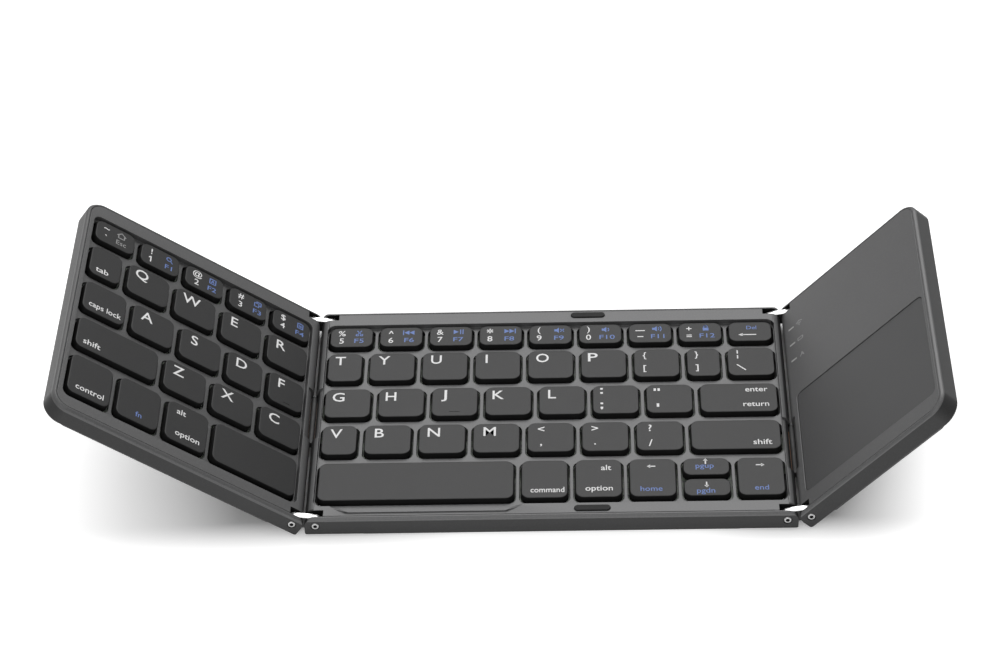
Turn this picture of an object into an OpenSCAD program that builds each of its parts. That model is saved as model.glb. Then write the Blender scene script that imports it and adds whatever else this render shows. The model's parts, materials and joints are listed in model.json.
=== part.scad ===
// Folding keyboard: a centre panel and two wings that fold over it on double-pivot links.
// Millimetres. Origin under the middle of the centre panel, on the table; +X right, +Y away
// from the typist, +Z up. Every panel is drawn lying flat and then turned to its rest angle.

/* [Panels] */
// Width of the centre panel
centre_w = 152; // [151:0.5:153]
// Width of the left wing
left_w = 88.8; // [88.4:0.1:89.4]
// Width of the right wing, which carries the touchpad
right_w = 62.6; // [62:0.1:63]
// Depth of every panel, front to back
panel_d = 98; // [97.6:0.1:98.6]
// Thickness of every panel, without its feet
panel_t = 7; // [7:0.05:7.2]
// Radius of the wings' outer corners, seen from above
corner_r = 6; // [4:0.5:7]
// Height of the rubber feet
foot_h = 0.8; // [0.6:0.1:1]

/* [Rest pose] */
// Angle of the left links above the table
left_link_angle = 8; // [0:1:20]
// Angle of the left wing above the table
left_wing_angle = 35.7; // [20:0.1:60]
// Angle of the right links above the table
right_link_angle = 10; // [0:1:20]
// Angle of the right wing above the table
right_wing_angle = 47.8; // [20:0.1:60]

/* [Hinges] */
// Distance of each pivot from the panel's side and from its top
pivot_in = 3.35; // [3.3:0.01:3.4]
// Distance between a link's two pivots
link_span = 7.3; // [7.2:0.05:7.4]
// Radius of the links' round ends
link_r = 2.2; // [2:0.05:2.25]
// Thickness of the links
link_t = 2.2; // [2:0.05:2.3]
// Diameter of the hinge pins
pin_d = 1.5; // [1.4:0.05:1.6]
// Length of the rubber sleeve over each flex cable
sleeve_l = 22; // [18:0.5:24]
// Position of the right sleeve along the hinge
right_sleeve_y = -17; // [-18:0.5:-15]

/* [Keys] */
// Width of a letter key
key_w = 15.2; // [14.8:0.1:15.3]
// Spacing of the letter keys in a row
key_pitch = 17.2; // [17:0.05:17.25]
// Depth of a letter key
key_d = 14; // [13.6:0.1:14.2]
// Spacing of the letter rows
row_pitch = 17.4; // [17.3:0.05:17.5]
// Width of a number key
number_w = 14.5; // [14:0.1:14.6]
// Depth of a number key
number_d = 10; // [9.6:0.1:10.1]
// Depth of the keys in the front row
front_d = 17.4; // [17:0.1:17.5]
// Height of the keys' flat tops below the panel's rim
key_drop = 0.1; // [0.05:0.05:0.3]
// Travel of a key
key_travel = 1.2; // [1:0.1:1.3]
// Depth of the sunken key field
well_depth = 1.8; // [1.6:0.1:1.9]

/* [Touchpad] */
// Width of the touchpad
pad_w = 54.8; // [52:0.2:55]
// Depth of the touchpad
pad_d = 44.7; // [42:0.1:45]
// Depth of the touchpad's surface below the cover
pad_drop = 0.25; // [0.1:0.05:0.4]

/* [Hidden] */
$fn = 48;
eps = 0.01;

// Panel sections
pivot_z = panel_t - pivot_in;          // height of the pivots above the shell's underside
half_w = centre_w / 2;
half_d = panel_d / 2;
pivot_x = half_w - pivot_in;           // centre panel's pivots
wing_pivot_x = pivot_x + link_span;    // wings' pivots, lying flat
wing_x = wing_pivot_x - pivot_in;      // wings' hinge sides, lying flat
top_bevel = 0.6;
bottom_bevel = 0.5;
floor_t = 1;
wall_t = 1.1;                          // front, back and outer walls; also the outer lugs
hinge_wall_t = 1.3;
frame_seam = 0.15;                     // groove between the shell's lip and the top frame
frame_z = 4.4;                         // underside of the top frames
web_z = panel_t - well_depth;          // top of the web between the keys
lug_top = 5;                           // inner lugs reach up into the frame

// Hinge notches
notch_d = link_t + 0.5;
notch_y = half_d - wall_t - notch_d;   // inner face of a notch
notch_x = 2.5;                         // inner end of a notch, past its pivot
lug_t = 1.2;
pocket_wall = 0.85;
link_y = half_d - wall_t - notch_d / 2;
pin_head_d = 2.3;
pin_head_t = 0.4;
pin_seat_d = 2.8;
pin_seat_t = 0.45;
pin_fit = 0.05;
sleeve_r = 1;
cable_drop = 1.45;                     // cable and sleeve run this far below the pivots
sleeve_gap = 0.3;
sleeve_cut_r = norm([link_span / 2, cable_drop]) - sleeve_r - sleeve_gap;
sleeve_cut_l = sleeve_l + 1.2;
cable_w = 18;
cable_t = 0.3;
cable_end = 1.05;                      // from a pivot out to the face of a cable's riser
cable_gap = 0.15;
riser_t = 0.25;
riser_z = pivot_z - 0.8;               // top of the risers

// Key field
field_x = half_w - 3.25;               // outer sides of the centre's keys
field_near = 4.75;                     // left wing: nearest key side, from the hinge side
field_far = 85.1;                      // left wing: farthest key side
field_front = -41.1;                   // front edge of the front row
key_gap = key_pitch - key_w;
row_gap = row_pitch - key_d;
number_gap = 2.9;
half_key_gap = 1.2;
bottom_gap = 1.9;
tab_w = 11.5;
t_key_w = 11.6;
bracket_w = 11.2;
left_front_w = 14.9;
right_front_w = 14.9;
left_space_w = 30;
right_space_w = 61.5;
key_r = 2;
key_bevel = 0.35;
key_top = panel_t - key_drop;
skirt_z = 4.4;
skirt_t = 0.9;
cap_t = 1;
cutout_gap = 0.4;
well_margin = 0.75;                    // from the keys to the wall of the well, hinge sides
well_front = field_front - 2.2;
well_back = 42.4;
well_r = 2.6;
outer_margin = 0.9;                    // the same on the wing's outer side
relief_front = -47.3;                  // thumb relief in front of the long space bar
relief_run = 2.9;                      // its slopes are this wide, seen from above
relief_side = -43.8;                   // its ends turn inwards here
relief_turn = 37;
relief_x0 = 7.9 - half_w;
relief_x1 = -8.7;

// Layers under the keys
plate_t = 0.4;
membrane_t = 0.25;
membrane_z = floor_t + plate_t + membrane_t;
plate_y = 43;
membrane_y = 42.8;
plate_hole_d = 3;
arm_len = 9;
arm_angle = 22;
arm_bar = 0.6;
arm_gap = 0.1;

// Fastenings and feet
screw_y = 45.6;
screw_d = 1.6;
screw_head_d = 2.8;
screw_head_t = 0.8;
screw_head_gap = 0.1;                  // heads sit this deep in their seats
boss_d = 4.6;
boss_h = 2.2;
post_d = 3.6;
screw_top = 4.3;
foot_w = 4.6;
centre_screw_x = [-55, 0, 55];
bumper_at = [[12.4, 45.7], [12.8, -45.8]];
bumper_l = 11.2;
bumper_w = 2.4;
bumper_h = 0.4;
bumper_seat = 0.8;
left_screw_x = [-wing_x - 78, -wing_x - 12];
right_screw_x = [wing_x + 12, wing_x + 52];

// Right wing
cover_t = 1.2;
pad_near = 5.2;
pad_front = -41.5;
pad_t = cover_t - pad_drop;            // its underside is level with the cover's
pad_gap = 0.15;
pad_ledge = 1;                         // the sensor board reaches this far under the cover
pad_x = wing_x + pad_near + pad_w / 2;
pad_y = pad_front + pad_d / 2;
room_near = wing_x + pad_near - pad_ledge;  // room under the cover, inside its rim
room_far = wing_x + right_w - 3.4;
room_y = 43;
board_z = 1.6;
board_t = 0.8;
board_near = wing_x + 2.6;
board_far = wing_x + 56;
board_front = 6;
board_back = 42.6;                     // clear of the screw bosses and the lugs
leg_w = 4;
lamp_x = wing_x + 5.5;
lamp_y = [35.2, 27.5, 19.8];
lamp_size = [2.4, 0.8];
socket_w = 8.9;
socket_t = 3.2;
socket_l = 7.3;
socket_x = wing_x + 34;
socket_z = board_z + board_t + socket_t / 2;
socket_gap = 0.15;
socket_back = 0.3;                     // the mouth sits this far inside the wall's face
tongue_w = 12;                         // part of the board that carries the socket
tongue_back = half_d - wall_t - 0.4;

// Rows, from the back: [front edge, back edge]
letters_y = field_front + front_d + row_gap;
numbers_y = letters_y + 2 * row_pitch + key_d + number_gap;
rows = [
  [numbers_y, numbers_y + number_d],
  [letters_y + 2 * row_pitch, letters_y + 2 * row_pitch + key_d],
  [letters_y + row_pitch, letters_y + row_pitch + key_d],
  [letters_y, letters_y + key_d],
  [field_front, field_front + front_d]
];

// A key is [x, y, width, depth] from its left and right sides and its row
function key_at(x0, x1, row) =
  [(x0 + x1) / 2, (rows[row][0] + rows[row][1]) / 2, x1 - x0, rows[row][1] - rows[row][0]];
// Keys of one width side by side
function key_run(x0, w, pitch, count, row) =
  [for (i = [0 : count - 1]) key_at(x0 + i * pitch, x0 + i * pitch + w, row)];

// Centre panel's keys
number_pitch = (2 * field_x - number_w) / 8;
letters_x = -field_x + t_key_w + key_gap;                 // second key of the T and V rows
letters_end = letters_x + 5 * key_pitch + key_w + key_gap;
front_x = -field_x + right_space_w + bottom_gap;
front_pitch = (field_x - front_x - right_front_w) / 4;
centre_number_keys = key_run(-field_x, number_w, number_pitch, 9, 0);
centre_t_keys = concat(
  [key_at(-field_x, -field_x + t_key_w, 1)],
  key_run(letters_x, key_w, key_pitch, 6, 1),
  [key_at(letters_end, letters_end + bracket_w, 1),
   key_at(letters_end + bracket_w + key_gap, field_x, 1)]);
centre_g_keys = key_run(-field_x, key_w, key_pitch, 7, 2);
centre_v_keys = concat(
  [key_at(-field_x, -field_x + t_key_w, 3)],
  key_run(letters_x, key_w, key_pitch, 6, 3));
enter_key = [key_at(-field_x + 7 * key_pitch, field_x, 2)];
right_shift_key = [key_at(letters_end, field_x, 3)];
right_space_bar = [key_at(-field_x, -field_x + right_space_w, 4)];
front_keys = key_run(front_x, right_front_w, front_pitch, 5, 4);
command_key = [front_keys[0]];
right_option_key = [front_keys[1]];
left_arrow_key = [front_keys[2]];
right_arrow_key = [front_keys[4]];
arrow_d = (front_d - half_key_gap) / 2;
arrow_step = (arrow_d + half_key_gap) / 2;
up_arrow_key = [front_keys[3] + [0, arrow_step, 0, arrow_d - front_d]];
down_arrow_key = [front_keys[3] + [0, -arrow_step, 0, arrow_d - front_d]];
centre_keys = concat(
  centre_number_keys, centre_t_keys, centre_g_keys, centre_v_keys, enter_key,
  right_shift_key, right_space_bar, command_key, right_option_key, left_arrow_key,
  up_arrow_key, down_arrow_key, right_arrow_key);

// Left wing's keys, lying flat
left_x0 = -wing_x - field_far;
left_x1 = -wing_x - field_near;
left_number_pitch = (left_x1 - left_x0 - number_w) / 4;
left_letters_x = left_x0 + tab_w + key_gap;
a_x = left_x0 + key_w + key_gap;
narrow_w = (left_x1 - a_x - 2 * key_pitch - key_gap) / 2;  // the D and F keys
left_front_pitch = (left_x1 - left_space_w - left_x0) / 3;
left_number_keys = key_run(left_x0, number_w, left_number_pitch, 5, 0);
left_q_keys = concat(
  key_run(left_letters_x, key_w, key_pitch, 3, 1),
  [key_at(left_letters_x + 3 * key_pitch, left_x1, 1)]);
left_a_keys = concat(
  key_run(a_x, key_w, key_pitch, 2, 2),
  key_run(a_x + 2 * key_pitch, narrow_w, narrow_w + key_gap, 2, 2));
left_z_keys = concat(
  key_run(left_letters_x + key_pitch, key_w, key_pitch, 2, 3),
  [key_at(left_letters_x + 3 * key_pitch, left_x1, 3)]);
tab_key = [key_at(left_x0, left_x0 + tab_w, 1)];
caps_lock_key = [key_at(left_x0, left_x0 + key_w, 2)];
left_shift_key = [key_at(left_x0, left_letters_x + key_w, 3)];
left_front_keys = key_run(left_x0, left_front_w, left_front_pitch, 3, 4);
control_key = [left_front_keys[0]];
fn_key = [left_front_keys[1]];
left_option_key = [left_front_keys[2]];
left_space_bar = [key_at(left_x1 - left_space_w, left_x1, 4)];
left_keys = concat(
  left_number_keys, left_q_keys, left_a_keys, left_z_keys, tab_key, caps_lock_key,
  left_shift_key, control_key, fn_key, left_option_key, left_space_bar);

// ---- Places -------------------------------------------------------------------------

// Turns children about the hinge axis at x, side -1 left and 1 right; positive lifts
module lift(x, side, angle) {
  translate([x, 0, pivot_z]) rotate([0, -side * angle, 0]) translate([-x, 0, -pivot_z])
    children();
}
module on_centre() {
  translate([0, 0, foot_h]) children();
}
module on_left_link() {
  on_centre() lift(-pivot_x, -1, left_link_angle) children();
}
module on_left_wing() {
  on_left_link() lift(-wing_pivot_x, -1, left_wing_angle - left_link_angle) children();
}
module on_right_link() {
  on_centre() lift(pivot_x, 1, right_link_angle) children();
}
module on_right_wing() {
  on_right_link() lift(wing_pivot_x, 1, right_wing_angle - right_link_angle) children();
}

// ---- Shapes -------------------------------------------------------------------------

// Block between two corners
module block(low, high) {
  translate(low) cube(high - low);
}
// Rectangle with round corners, as squares and circles
module round_rect(w, d, r) {
  square([w - 2 * r, d], center = true);
  square([w, d - 2 * r], center = true);
  for (x = [-1, 1], y = [-1, 1])
    translate([x * (w / 2 - r), y * (d / 2 - r)]) circle(r);
}
// Slot with round ends along X
module stadium(l, w) {
  square([l - w, w], center = true);
  for (x = [-1, 1]) translate([x * (l - w) / 2, 0]) circle(w / 2);
}
// Half section of a bevelled edge, r wide and h high
module bevel_section(r, h, low, high) {
  polygon([[0, 0], [r - low, 0], [r, low], [r, h - high], [r - high, h], [0, h]]);
}
// Slab w wide in X with bevelled long edges, as a solid from z = 0
module bevel_slab(w, d, h, low, high) {
  rotate([90, 0, 90]) linear_extrude(height = w, center = true)
    union() {
      bevel_section(d / 2, h, low, high);
      mirror([1, 0]) bevel_section(d / 2, h, low, high);
    }
}
// Block with round upright corners and bevelled edges all round
module bevel_block(w, d, h, r, low, high) {
  bevel_slab(w - 2 * r, d, h, low, high);
  rotate([0, 0, 90]) bevel_slab(d - 2 * r, w, h, low, high);
  for (x = [-1, 1], y = [-1, 1])
    translate([x * (w / 2 - r), y * (d / 2 - r), 0])
      rotate_extrude() bevel_section(r, h, low, high);
}
// Side view of a hinge side at x = 0, the panel lying towards +x
module hinge_outline(reach) {
  translate([pivot_in, pivot_z]) circle(pivot_in);
  translate([pivot_in, 0]) square([reach - pivot_in, panel_t]);
  polygon([[0, 0.8], [0.8, 0], [pivot_in, 0], [pivot_in, pivot_z], [0, pivot_z]]);
}
module hinge_limit(x, side, reach) {
  translate([x, 0, 0]) mirror([side > 0 ? 0 : 1, 0, 0])
    rotate([90, 0, 0]) linear_extrude(height = panel_d + 1, center = true)
      hinge_outline(reach);
}
// The centre panel's outer form
module centre_envelope() {
  intersection() {
    bevel_slab(centre_w, panel_d, panel_t, bottom_bevel, top_bevel);
    hinge_limit(-half_w, 1, centre_w);
    hinge_limit(half_w, -1, centre_w);
  }
}
// A wing's outer form, its hinge side at side * wing_x
module wing_envelope(side, w) {
  over = 2 * corner_r;
  intersection() {
    translate([side * (wing_x + w / 2 - over / 2), 0, 0])
      bevel_block(w + over, panel_d, panel_t, corner_r, bottom_bevel, top_bevel);
    hinge_limit(side * wing_x, side, w + 1);
  }
}

// ---- Hinge details cut into the panels, for a pivot at x with the panel's side towards out

// Openings for the links, front and back
module notches(x, out) {
  far = out * (pivot_in + 1);
  near = -out * notch_x;
  for (y = [-1, 1])
    block([x + min(far, near), y * link_y - notch_d / 2, floor_t],
          [x + max(far, near), y * link_y + notch_d / 2, panel_t + 1]);
}
// Inner lugs and the walls that close the notches
module lugs(x, out) {
  inner = -out * (notch_x + pocket_wall);
  side = out * pivot_in;
  for (y = [-1, 1]) {
    y0 = y * (notch_y - lug_t / 2);
    block([x + min(side, inner), y0 - lug_t / 2, 0],
          [x + max(side, inner), y0 + lug_t / 2, lug_top]);
    block([x + min(inner, -out * notch_x), y * link_y - notch_d / 2 - eps, 0],
          [x + max(inner, -out * notch_x), y * link_y + notch_d / 2 + eps, frame_z]);
  }
}
// Bores for the pins and seats for their heads
module pin_bores(x) {
  for (y = [-1, 1]) translate([x, y * half_d, pivot_z]) rotate([y * 90, 0, 0]) {
    cylinder(d = pin_d, h = 2 * (wall_t + notch_d + lug_t), center = true);
    cylinder(d = pin_seat_d, h = 2 * pin_seat_t, center = true);
  }
}
// Room for the cable sleeve to swing round the pivot
module sleeve_room(x, out, y) {
  far = out * (pivot_in + 1);
  intersection() {
    translate([x, y, pivot_z]) rotate([90, 0, 0])
      difference() {
        cylinder(r = panel_t, h = sleeve_cut_l, center = true);
        cylinder(r = sleeve_cut_r, h = sleeve_cut_l + 1, center = true);
      }
    block([x + min(0, far), y - sleeve_cut_l / 2, pivot_z - cable_drop - sleeve_r - sleeve_gap],
          [x + max(0, far), y + sleeve_cut_l / 2, panel_t + 1]);
  }
}
// Thicker hinge wall behind the sleeve
module sleeve_wall(x, out, y) {
  near = out * (cable_end + 0.2);
  far = out * pivot_in;
  block([x + min(near, far), y - sleeve_cut_l / 2 - 1, floor_t / 2],
        [x + max(near, far), y + sleeve_cut_l / 2 + 1, pivot_z]);
}
// Slot that the flex cable leaves through
module cable_slot(x, out, y) {
  far = out * (pivot_in + 1);
  block([x + min(0, far), y - cable_w / 2 - 0.5, pivot_z - cable_drop - 0.45],
        [x + max(0, far), y + cable_w / 2 + 0.5, pivot_z + 0.5]);
}
// Takes a shell's hinge wall down to the frame's seat, between the outer lugs
module frame_seat(x, out) {
  far = out * (pivot_in + 1);
  block([x + min(0, far), wall_t - half_d, pivot_z],
        [x + max(0, far), half_d - wall_t, panel_t + 1]);
}
module hinge_cuts(x, out, y) {
  notches(x, out);
  pin_bores(x);
  sleeve_room(x, out, y);
  cable_slot(x, out, y);
}

// ---- Shells -------------------------------------------------------------------------

// Bosses that take the screws from below
module screw_bosses(xs) {
  for (x = xs, y = [-1, 1]) translate([x, y * screw_y, 0]) cylinder(d = boss_d, h = boss_h);
}
module screw_bores(xs) {
  for (x = xs, y = [-1, 1]) translate([x, y * screw_y, 0]) {
    cylinder(d = screw_d, h = 3 * boss_h, center = true);
    cylinder(d = screw_head_d, h = 2 * (screw_head_t + screw_head_gap), center = true);
  }
}
// Space inside a shell between x0 and x1
module shell_cavity(x0, x1) {
  block([x0, wall_t - half_d, floor_t], [x1, half_d - wall_t, panel_t + 1]);
}
module centre_bottom_shell() {
  color([0.2, 0.2, 0.21]) on_centre() difference() {
    union() {
      difference() {
        centre_envelope();
        shell_cavity(hinge_wall_t - half_w, half_w - hinge_wall_t);
        frame_seat(-pivot_x, -1);
        frame_seat(pivot_x, 1);
      }
      intersection() {
        centre_envelope();
        union() {
          lugs(-pivot_x, -1);
          lugs(pivot_x, 1);
          sleeve_wall(-pivot_x, -1, 0);
          sleeve_wall(pivot_x, 1, right_sleeve_y);
        }
      }
      screw_bosses(centre_screw_x);
    }
    hinge_cuts(-pivot_x, -1, 0);
    hinge_cuts(pivot_x, 1, right_sleeve_y);
    screw_bores(centre_screw_x);
  }
}
// A wing's shell, its sleeve at y and its hinge side towards -side
module wing_shell(side, w, y, screws) {
  near = side * (wing_x + hinge_wall_t);
  far = side * (wing_x + w - wall_t);
  difference() {
    union() {
      difference() {
        wing_envelope(side, w);
        intersection() {
          shell_cavity(min(near, far), max(near, far));
          translate([side * (wing_x + w / 2 - corner_r), 0, 0])
            linear_extrude(height = panel_t + 2)
              round_rect(w + 2 * corner_r - 2 * wall_t, panel_d - 2 * wall_t, corner_r - wall_t);
        }
        frame_seat(side * wing_pivot_x, -side);
      }
      intersection() {
        wing_envelope(side, w);
        union() {
          lugs(side * wing_pivot_x, -side);
          sleeve_wall(side * wing_pivot_x, -side, y);
        }
      }
      screw_bosses(screws);
    }
    hinge_cuts(side * wing_pivot_x, -side, y);
    screw_bores(screws);
  }
}
module left_bottom_shell() {
  color([0.2, 0.2, 0.21]) on_left_wing() wing_shell(-1, left_w, 0, left_screw_x);
}
module right_bottom_shell() {
  color([0.2, 0.2, 0.21]) on_right_wing() difference() {
    wing_shell(1, right_w, right_sleeve_y, right_screw_x);
    // mouth of the charging socket
    translate([socket_x, half_d, socket_z]) rotate([90, 0, 0])
      linear_extrude(height = 4 * wall_t, center = true)
        stadium(socket_w + 2 * socket_gap, socket_t + 2 * socket_gap);
  }
}

// ---- Top frames ---------------------------------------------------------------------

// Posts under a frame that the screws bite into
module screw_posts(xs) {
  for (x = xs, y = [-1, 1]) translate([x, y * screw_y, boss_h])
    cylinder(d = post_d, h = frame_z - boss_h + eps);
}
module post_bores(xs) {
  for (x = xs, y = [-1, 1]) translate([x, y * screw_y, 0]) cylinder(d = screw_d, h = screw_top);
}
// Openings round the keys
module key_cutouts(keys) {
  for (k = keys) translate([k[0], k[1], 0])
    linear_extrude(height = panel_t)
      round_rect(k[2] + 2 * cutout_gap, k[3] + 2 * cutout_gap, key_r + cutout_gap);
}
// The sunken field between x0 and x1
module well(x0, x1) {
  translate([(x0 + x1) / 2, (well_front + well_back) / 2, web_z])
    linear_extrude(height = panel_t)
      round_rect(x1 - x0, well_back - well_front, well_r);
}
// Everything above a slope that falls from the rim at the origin to the web, towards +y
module above_slope() {
  translate([0, relief_run, 0]) rotate([-atan2(well_depth, relief_run), 0, 0])
    block([-40, -20, 0], [100, 80, 80]);
}
// Thumb relief in front of a space bar between x0 and x1, with sloping sides
module thumb_relief(x0, x1) {
  turn_in = (relief_side - relief_front) / tan(relief_turn);
  intersection() {
    translate([0, 0, web_z]) linear_extrude(height = panel_t)
      polygon([[x0, well_front + 1], [x0, relief_side], [x0 + turn_in, relief_front],
               [x1 - turn_in, relief_front], [x1, relief_side], [x1, well_front + 1]]);
    translate([x0, relief_front, web_z]) above_slope();
    translate([x0, relief_side, web_z]) rotate([0, 0, -relief_turn]) above_slope();
    translate([x1, relief_side, web_z]) mirror([1, 0, 0]) rotate([0, 0, -relief_turn])
      above_slope();
  }
}
// Keeps the frame's underside clear of the inner lugs
module lug_room(x, out) {
  inner = -out * (notch_x + pocket_wall + 0.1);
  side = out * (pivot_in + 1);
  for (y = [-1, 1])
    block([x + min(side, inner), y * (notch_y - lug_t / 2) - lug_t / 2 - 0.1, 0],
          [x + max(side, inner), y * (notch_y - lug_t / 2) + lug_t / 2 + 0.1, lug_top]);
}
module frame_cuts(x, out, y) {
  notches(x, out);
  lug_room(x, out);
  sleeve_room(x, out, y);
  cable_slot(x, out, y);
}
// Level band that a frame fills between its underside and the panel's top
module frame_band(x0, x1) {
  block([x0, wall_t + frame_seam - half_d, frame_z], [x1, half_d - wall_t - frame_seam, panel_t + 1]);
}
// Bead that rests on a hinge wall, for a pivot at x
module frame_bead(x, out) {
  near = out * 0.85;
  far = out * (pivot_in + 1);
  block([x + min(near, far), lug_t - notch_y + 0.1, pivot_z],
        [x + max(near, far), notch_y - lug_t - 0.1, panel_t + 1]);
}
module centre_top_frame() {
  color([0.47, 0.47, 0.48]) on_centre() difference() {
    union() {
      intersection() {
        centre_envelope();
        union() {
          frame_band(-half_w, half_w);
          frame_bead(-pivot_x, -1);
          frame_bead(pivot_x, 1);
        }
      }
      screw_posts(centre_screw_x);
    }
    well(-field_x - well_margin, field_x + well_margin);
    thumb_relief(relief_x0, relief_x1);
    key_cutouts(centre_keys);
    // one opening holds both half-height arrow keys
    key_cutouts([front_keys[3]]);
    frame_cuts(-pivot_x, -1, 0);
    frame_cuts(pivot_x, 1, right_sleeve_y);
    post_bores(centre_screw_x);
    bumper_seats();
  }
}
// Wing's frame or cover blank: a band with the shell's corners, and its bead
module wing_frame_blank(side, w, screws) {
  inset = wall_t + frame_seam;
  union() {
    intersection() {
      wing_envelope(side, w);
      union() {
        intersection() {
          frame_band(min(side * wing_x, side * (wing_x + w)), max(side * wing_x, side * (wing_x + w)));
          translate([side * (wing_x + w / 2 - corner_r), 0, 0])
            linear_extrude(height = panel_t + 2)
              round_rect(w + 2 * corner_r - 2 * inset, panel_d - 2 * inset, corner_r - inset);
        }
        frame_bead(side * wing_pivot_x, -side);
      }
    }
    screw_posts(screws);
  }
}
module left_top_frame() {
  color([0.38, 0.38, 0.39]) on_left_wing() difference() {
    wing_frame_blank(-1, left_w, left_screw_x);
    well(left_x0 - outer_margin, left_x1 + well_margin);
    key_cutouts(left_keys);
    frame_cuts(-wing_pivot_x, 1, 0);
    post_bores(left_screw_x);
  }
}
module right_top_cover() {
  color([0.36, 0.36, 0.37]) on_right_wing() difference() {
    wing_frame_blank(1, right_w, right_screw_x);
    block([room_near, -room_y, 0], [room_far, room_y, panel_t - cover_t]);
    // pocket over the charging socket
    block([socket_x - socket_w / 2 - 0.2, room_y - 1, 0],
          [socket_x + socket_w / 2 + 0.2, half_d, socket_z + socket_t / 2 + 0.1]);
    // opening for the touchpad
    translate([pad_x, pad_y, 0]) linear_extrude(height = 2 * panel_t)
      round_rect(pad_w + 2 * pad_gap, pad_d + 2 * pad_gap, key_r);
    // openings for the light pipes
    for (y = lamp_y) translate([lamp_x, y, 0]) linear_extrude(height = 2 * panel_t)
      square(lamp_size, center = true);
    frame_cuts(wing_pivot_x, -1, right_sleeve_y);
    post_bores(right_screw_x);
  }
}

// ---- Bumpers, feet, screws and pins --------------------------------------------------

module bumper_places() {
  for (p = bumper_at) translate([p[0], p[1], 0]) children();
}
module bumper_seats() {
  bumper_places() translate([0, 0, panel_t - bumper_seat])
    linear_extrude(height = panel_t) stadium(bumper_l, bumper_w);
}
module rest_bumpers() {
  color([0.1, 0.1, 0.1]) on_centre() bumper_places() translate([0, 0, panel_t - bumper_seat])
    linear_extrude(height = bumper_seat + bumper_h) stadium(bumper_l, bumper_w);
}
// Strip foot from x0 to x1
module foot(x0, x1, y) {
  translate([(x0 + x1) / 2, y, -foot_h]) linear_extrude(height = foot_h) stadium(x1 - x0, foot_w);
}
module centre_feet() {
  color([0.12, 0.12, 0.12]) on_centre() {
    for (y = [-1, 1]) foot(-60, 60, y * screw_y);
    foot(-20, 20, 0);
  }
}
module left_feet() {
  color([0.12, 0.12, 0.12]) on_left_wing() for (y = [-1, 1])
    foot(-wing_x - 83, -wing_x - 8, y * screw_y);
}
module right_feet() {
  color([0.12, 0.12, 0.12]) on_right_wing() for (y = [-1, 1])
    foot(wing_x + 8, wing_x + 56.5, y * screw_y);
}
// Pan-head screws with a cross recess, driven from below
module screws(xs) {
  for (x = xs, y = [-1, 1]) translate([x, y * screw_y, screw_head_gap]) difference() {
    union() {
      cylinder(d = screw_head_d, h = screw_head_t);
      cylinder(d = screw_d, h = screw_top - screw_head_gap - 0.2);
    }
    for (turn = [0, 90]) rotate([0, 0, turn])
      cube([screw_head_d * 0.6, 0.35, screw_head_t], center = true);
  }
}
module centre_screws() {
  color("silver") on_centre() screws(centre_screw_x);
}
module left_screws() {
  color("silver") on_left_wing() screws(left_screw_x);
}
module right_screws() {
  color("silver") on_right_wing() screws(right_screw_x);
}
// Two headed pins with a hexagon socket, on one hinge axis
module pins(x) {
  for (y = [-1, 1]) translate([x, y * (half_d - pin_seat_t), pivot_z]) rotate([y * 90, 0, 0])
    difference() {
      union() {
        cylinder(d = pin_d, h = wall_t + notch_d + lug_t - pin_seat_t);
        translate([0, 0, -pin_head_t]) cylinder(d = pin_head_d, h = pin_head_t);
      }
      translate([0, 0, -pin_head_t]) cylinder(d = 1, h = 1, center = true, $fn = 6);
    }
}
module centre_hinge_pins() {
  color("gainsboro") on_centre() {
    pins(-pivot_x);
    pins(pivot_x);
  }
}
module left_hinge_pins() {
  color("gainsboro") on_left_wing() pins(-wing_pivot_x);
}
module right_hinge_pins() {
  color("gainsboro") on_right_wing() pins(wing_pivot_x);
}

// ---- Links, sleeves and flex cables --------------------------------------------------

module hinge_links(side) {
  for (y = [-1, 1]) translate([side * (pivot_x + link_span / 2), y * link_y, pivot_z])
    rotate([90, 0, 0]) linear_extrude(height = link_t, center = true) difference() {
      stadium(link_span + 2 * link_r, 2 * link_r);
      for (x = [-1, 1]) translate([x * link_span / 2, 0]) circle(d = pin_d + 2 * pin_fit);
    }
}
// Rubber rod with a slot that the cable fills
module cable_sleeve(side, y) {
  translate([side * (pivot_x + link_span / 2), y, pivot_z - cable_drop]) difference() {
    rotate([90, 0, 0]) cylinder(r = sleeve_r, h = sleeve_l, center = true);
    cube([3 * sleeve_r, cable_w, cable_t], center = true);
  }
}
// Distance along the link from a pivot to the cable's riser, on a panel turned by angle
function cable_reach(angle) = (cable_end + cable_gap - cable_drop * sin(angle)) / cos(angle);
module flex_cable(side, y, centre_angle, wing_angle) {
  near = side * (pivot_x + cable_reach(centre_angle));
  far = side * (wing_pivot_x - cable_reach(wing_angle));
  z = pivot_z - cable_drop;
  block([min(near, far), y - cable_w / 2, z - cable_t / 2],
        [max(near, far), y + cable_w / 2, z + cable_t / 2]);
}
module left_hinge_links() {
  color("gainsboro") on_left_link() hinge_links(-1);
}
module left_cable_sleeve() {
  color([0.25, 0.25, 0.25]) on_left_link() cable_sleeve(-1, 0);
}
module left_flex_cable() {
  color("darkorange") on_left_link()
    flex_cable(-1, 0, left_link_angle, left_wing_angle - left_link_angle);
}
module right_hinge_links() {
  color("gainsboro") on_right_link() hinge_links(1);
}
module right_cable_sleeve() {
  color([0.25, 0.25, 0.25]) on_right_link() cable_sleeve(1, right_sleeve_y);
}
module right_flex_cable() {
  color("darkorange") on_right_link()
    flex_cable(1, right_sleeve_y, right_link_angle, right_wing_angle - right_link_angle);
}

// ---- Layers under the keys -----------------------------------------------------------

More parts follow.
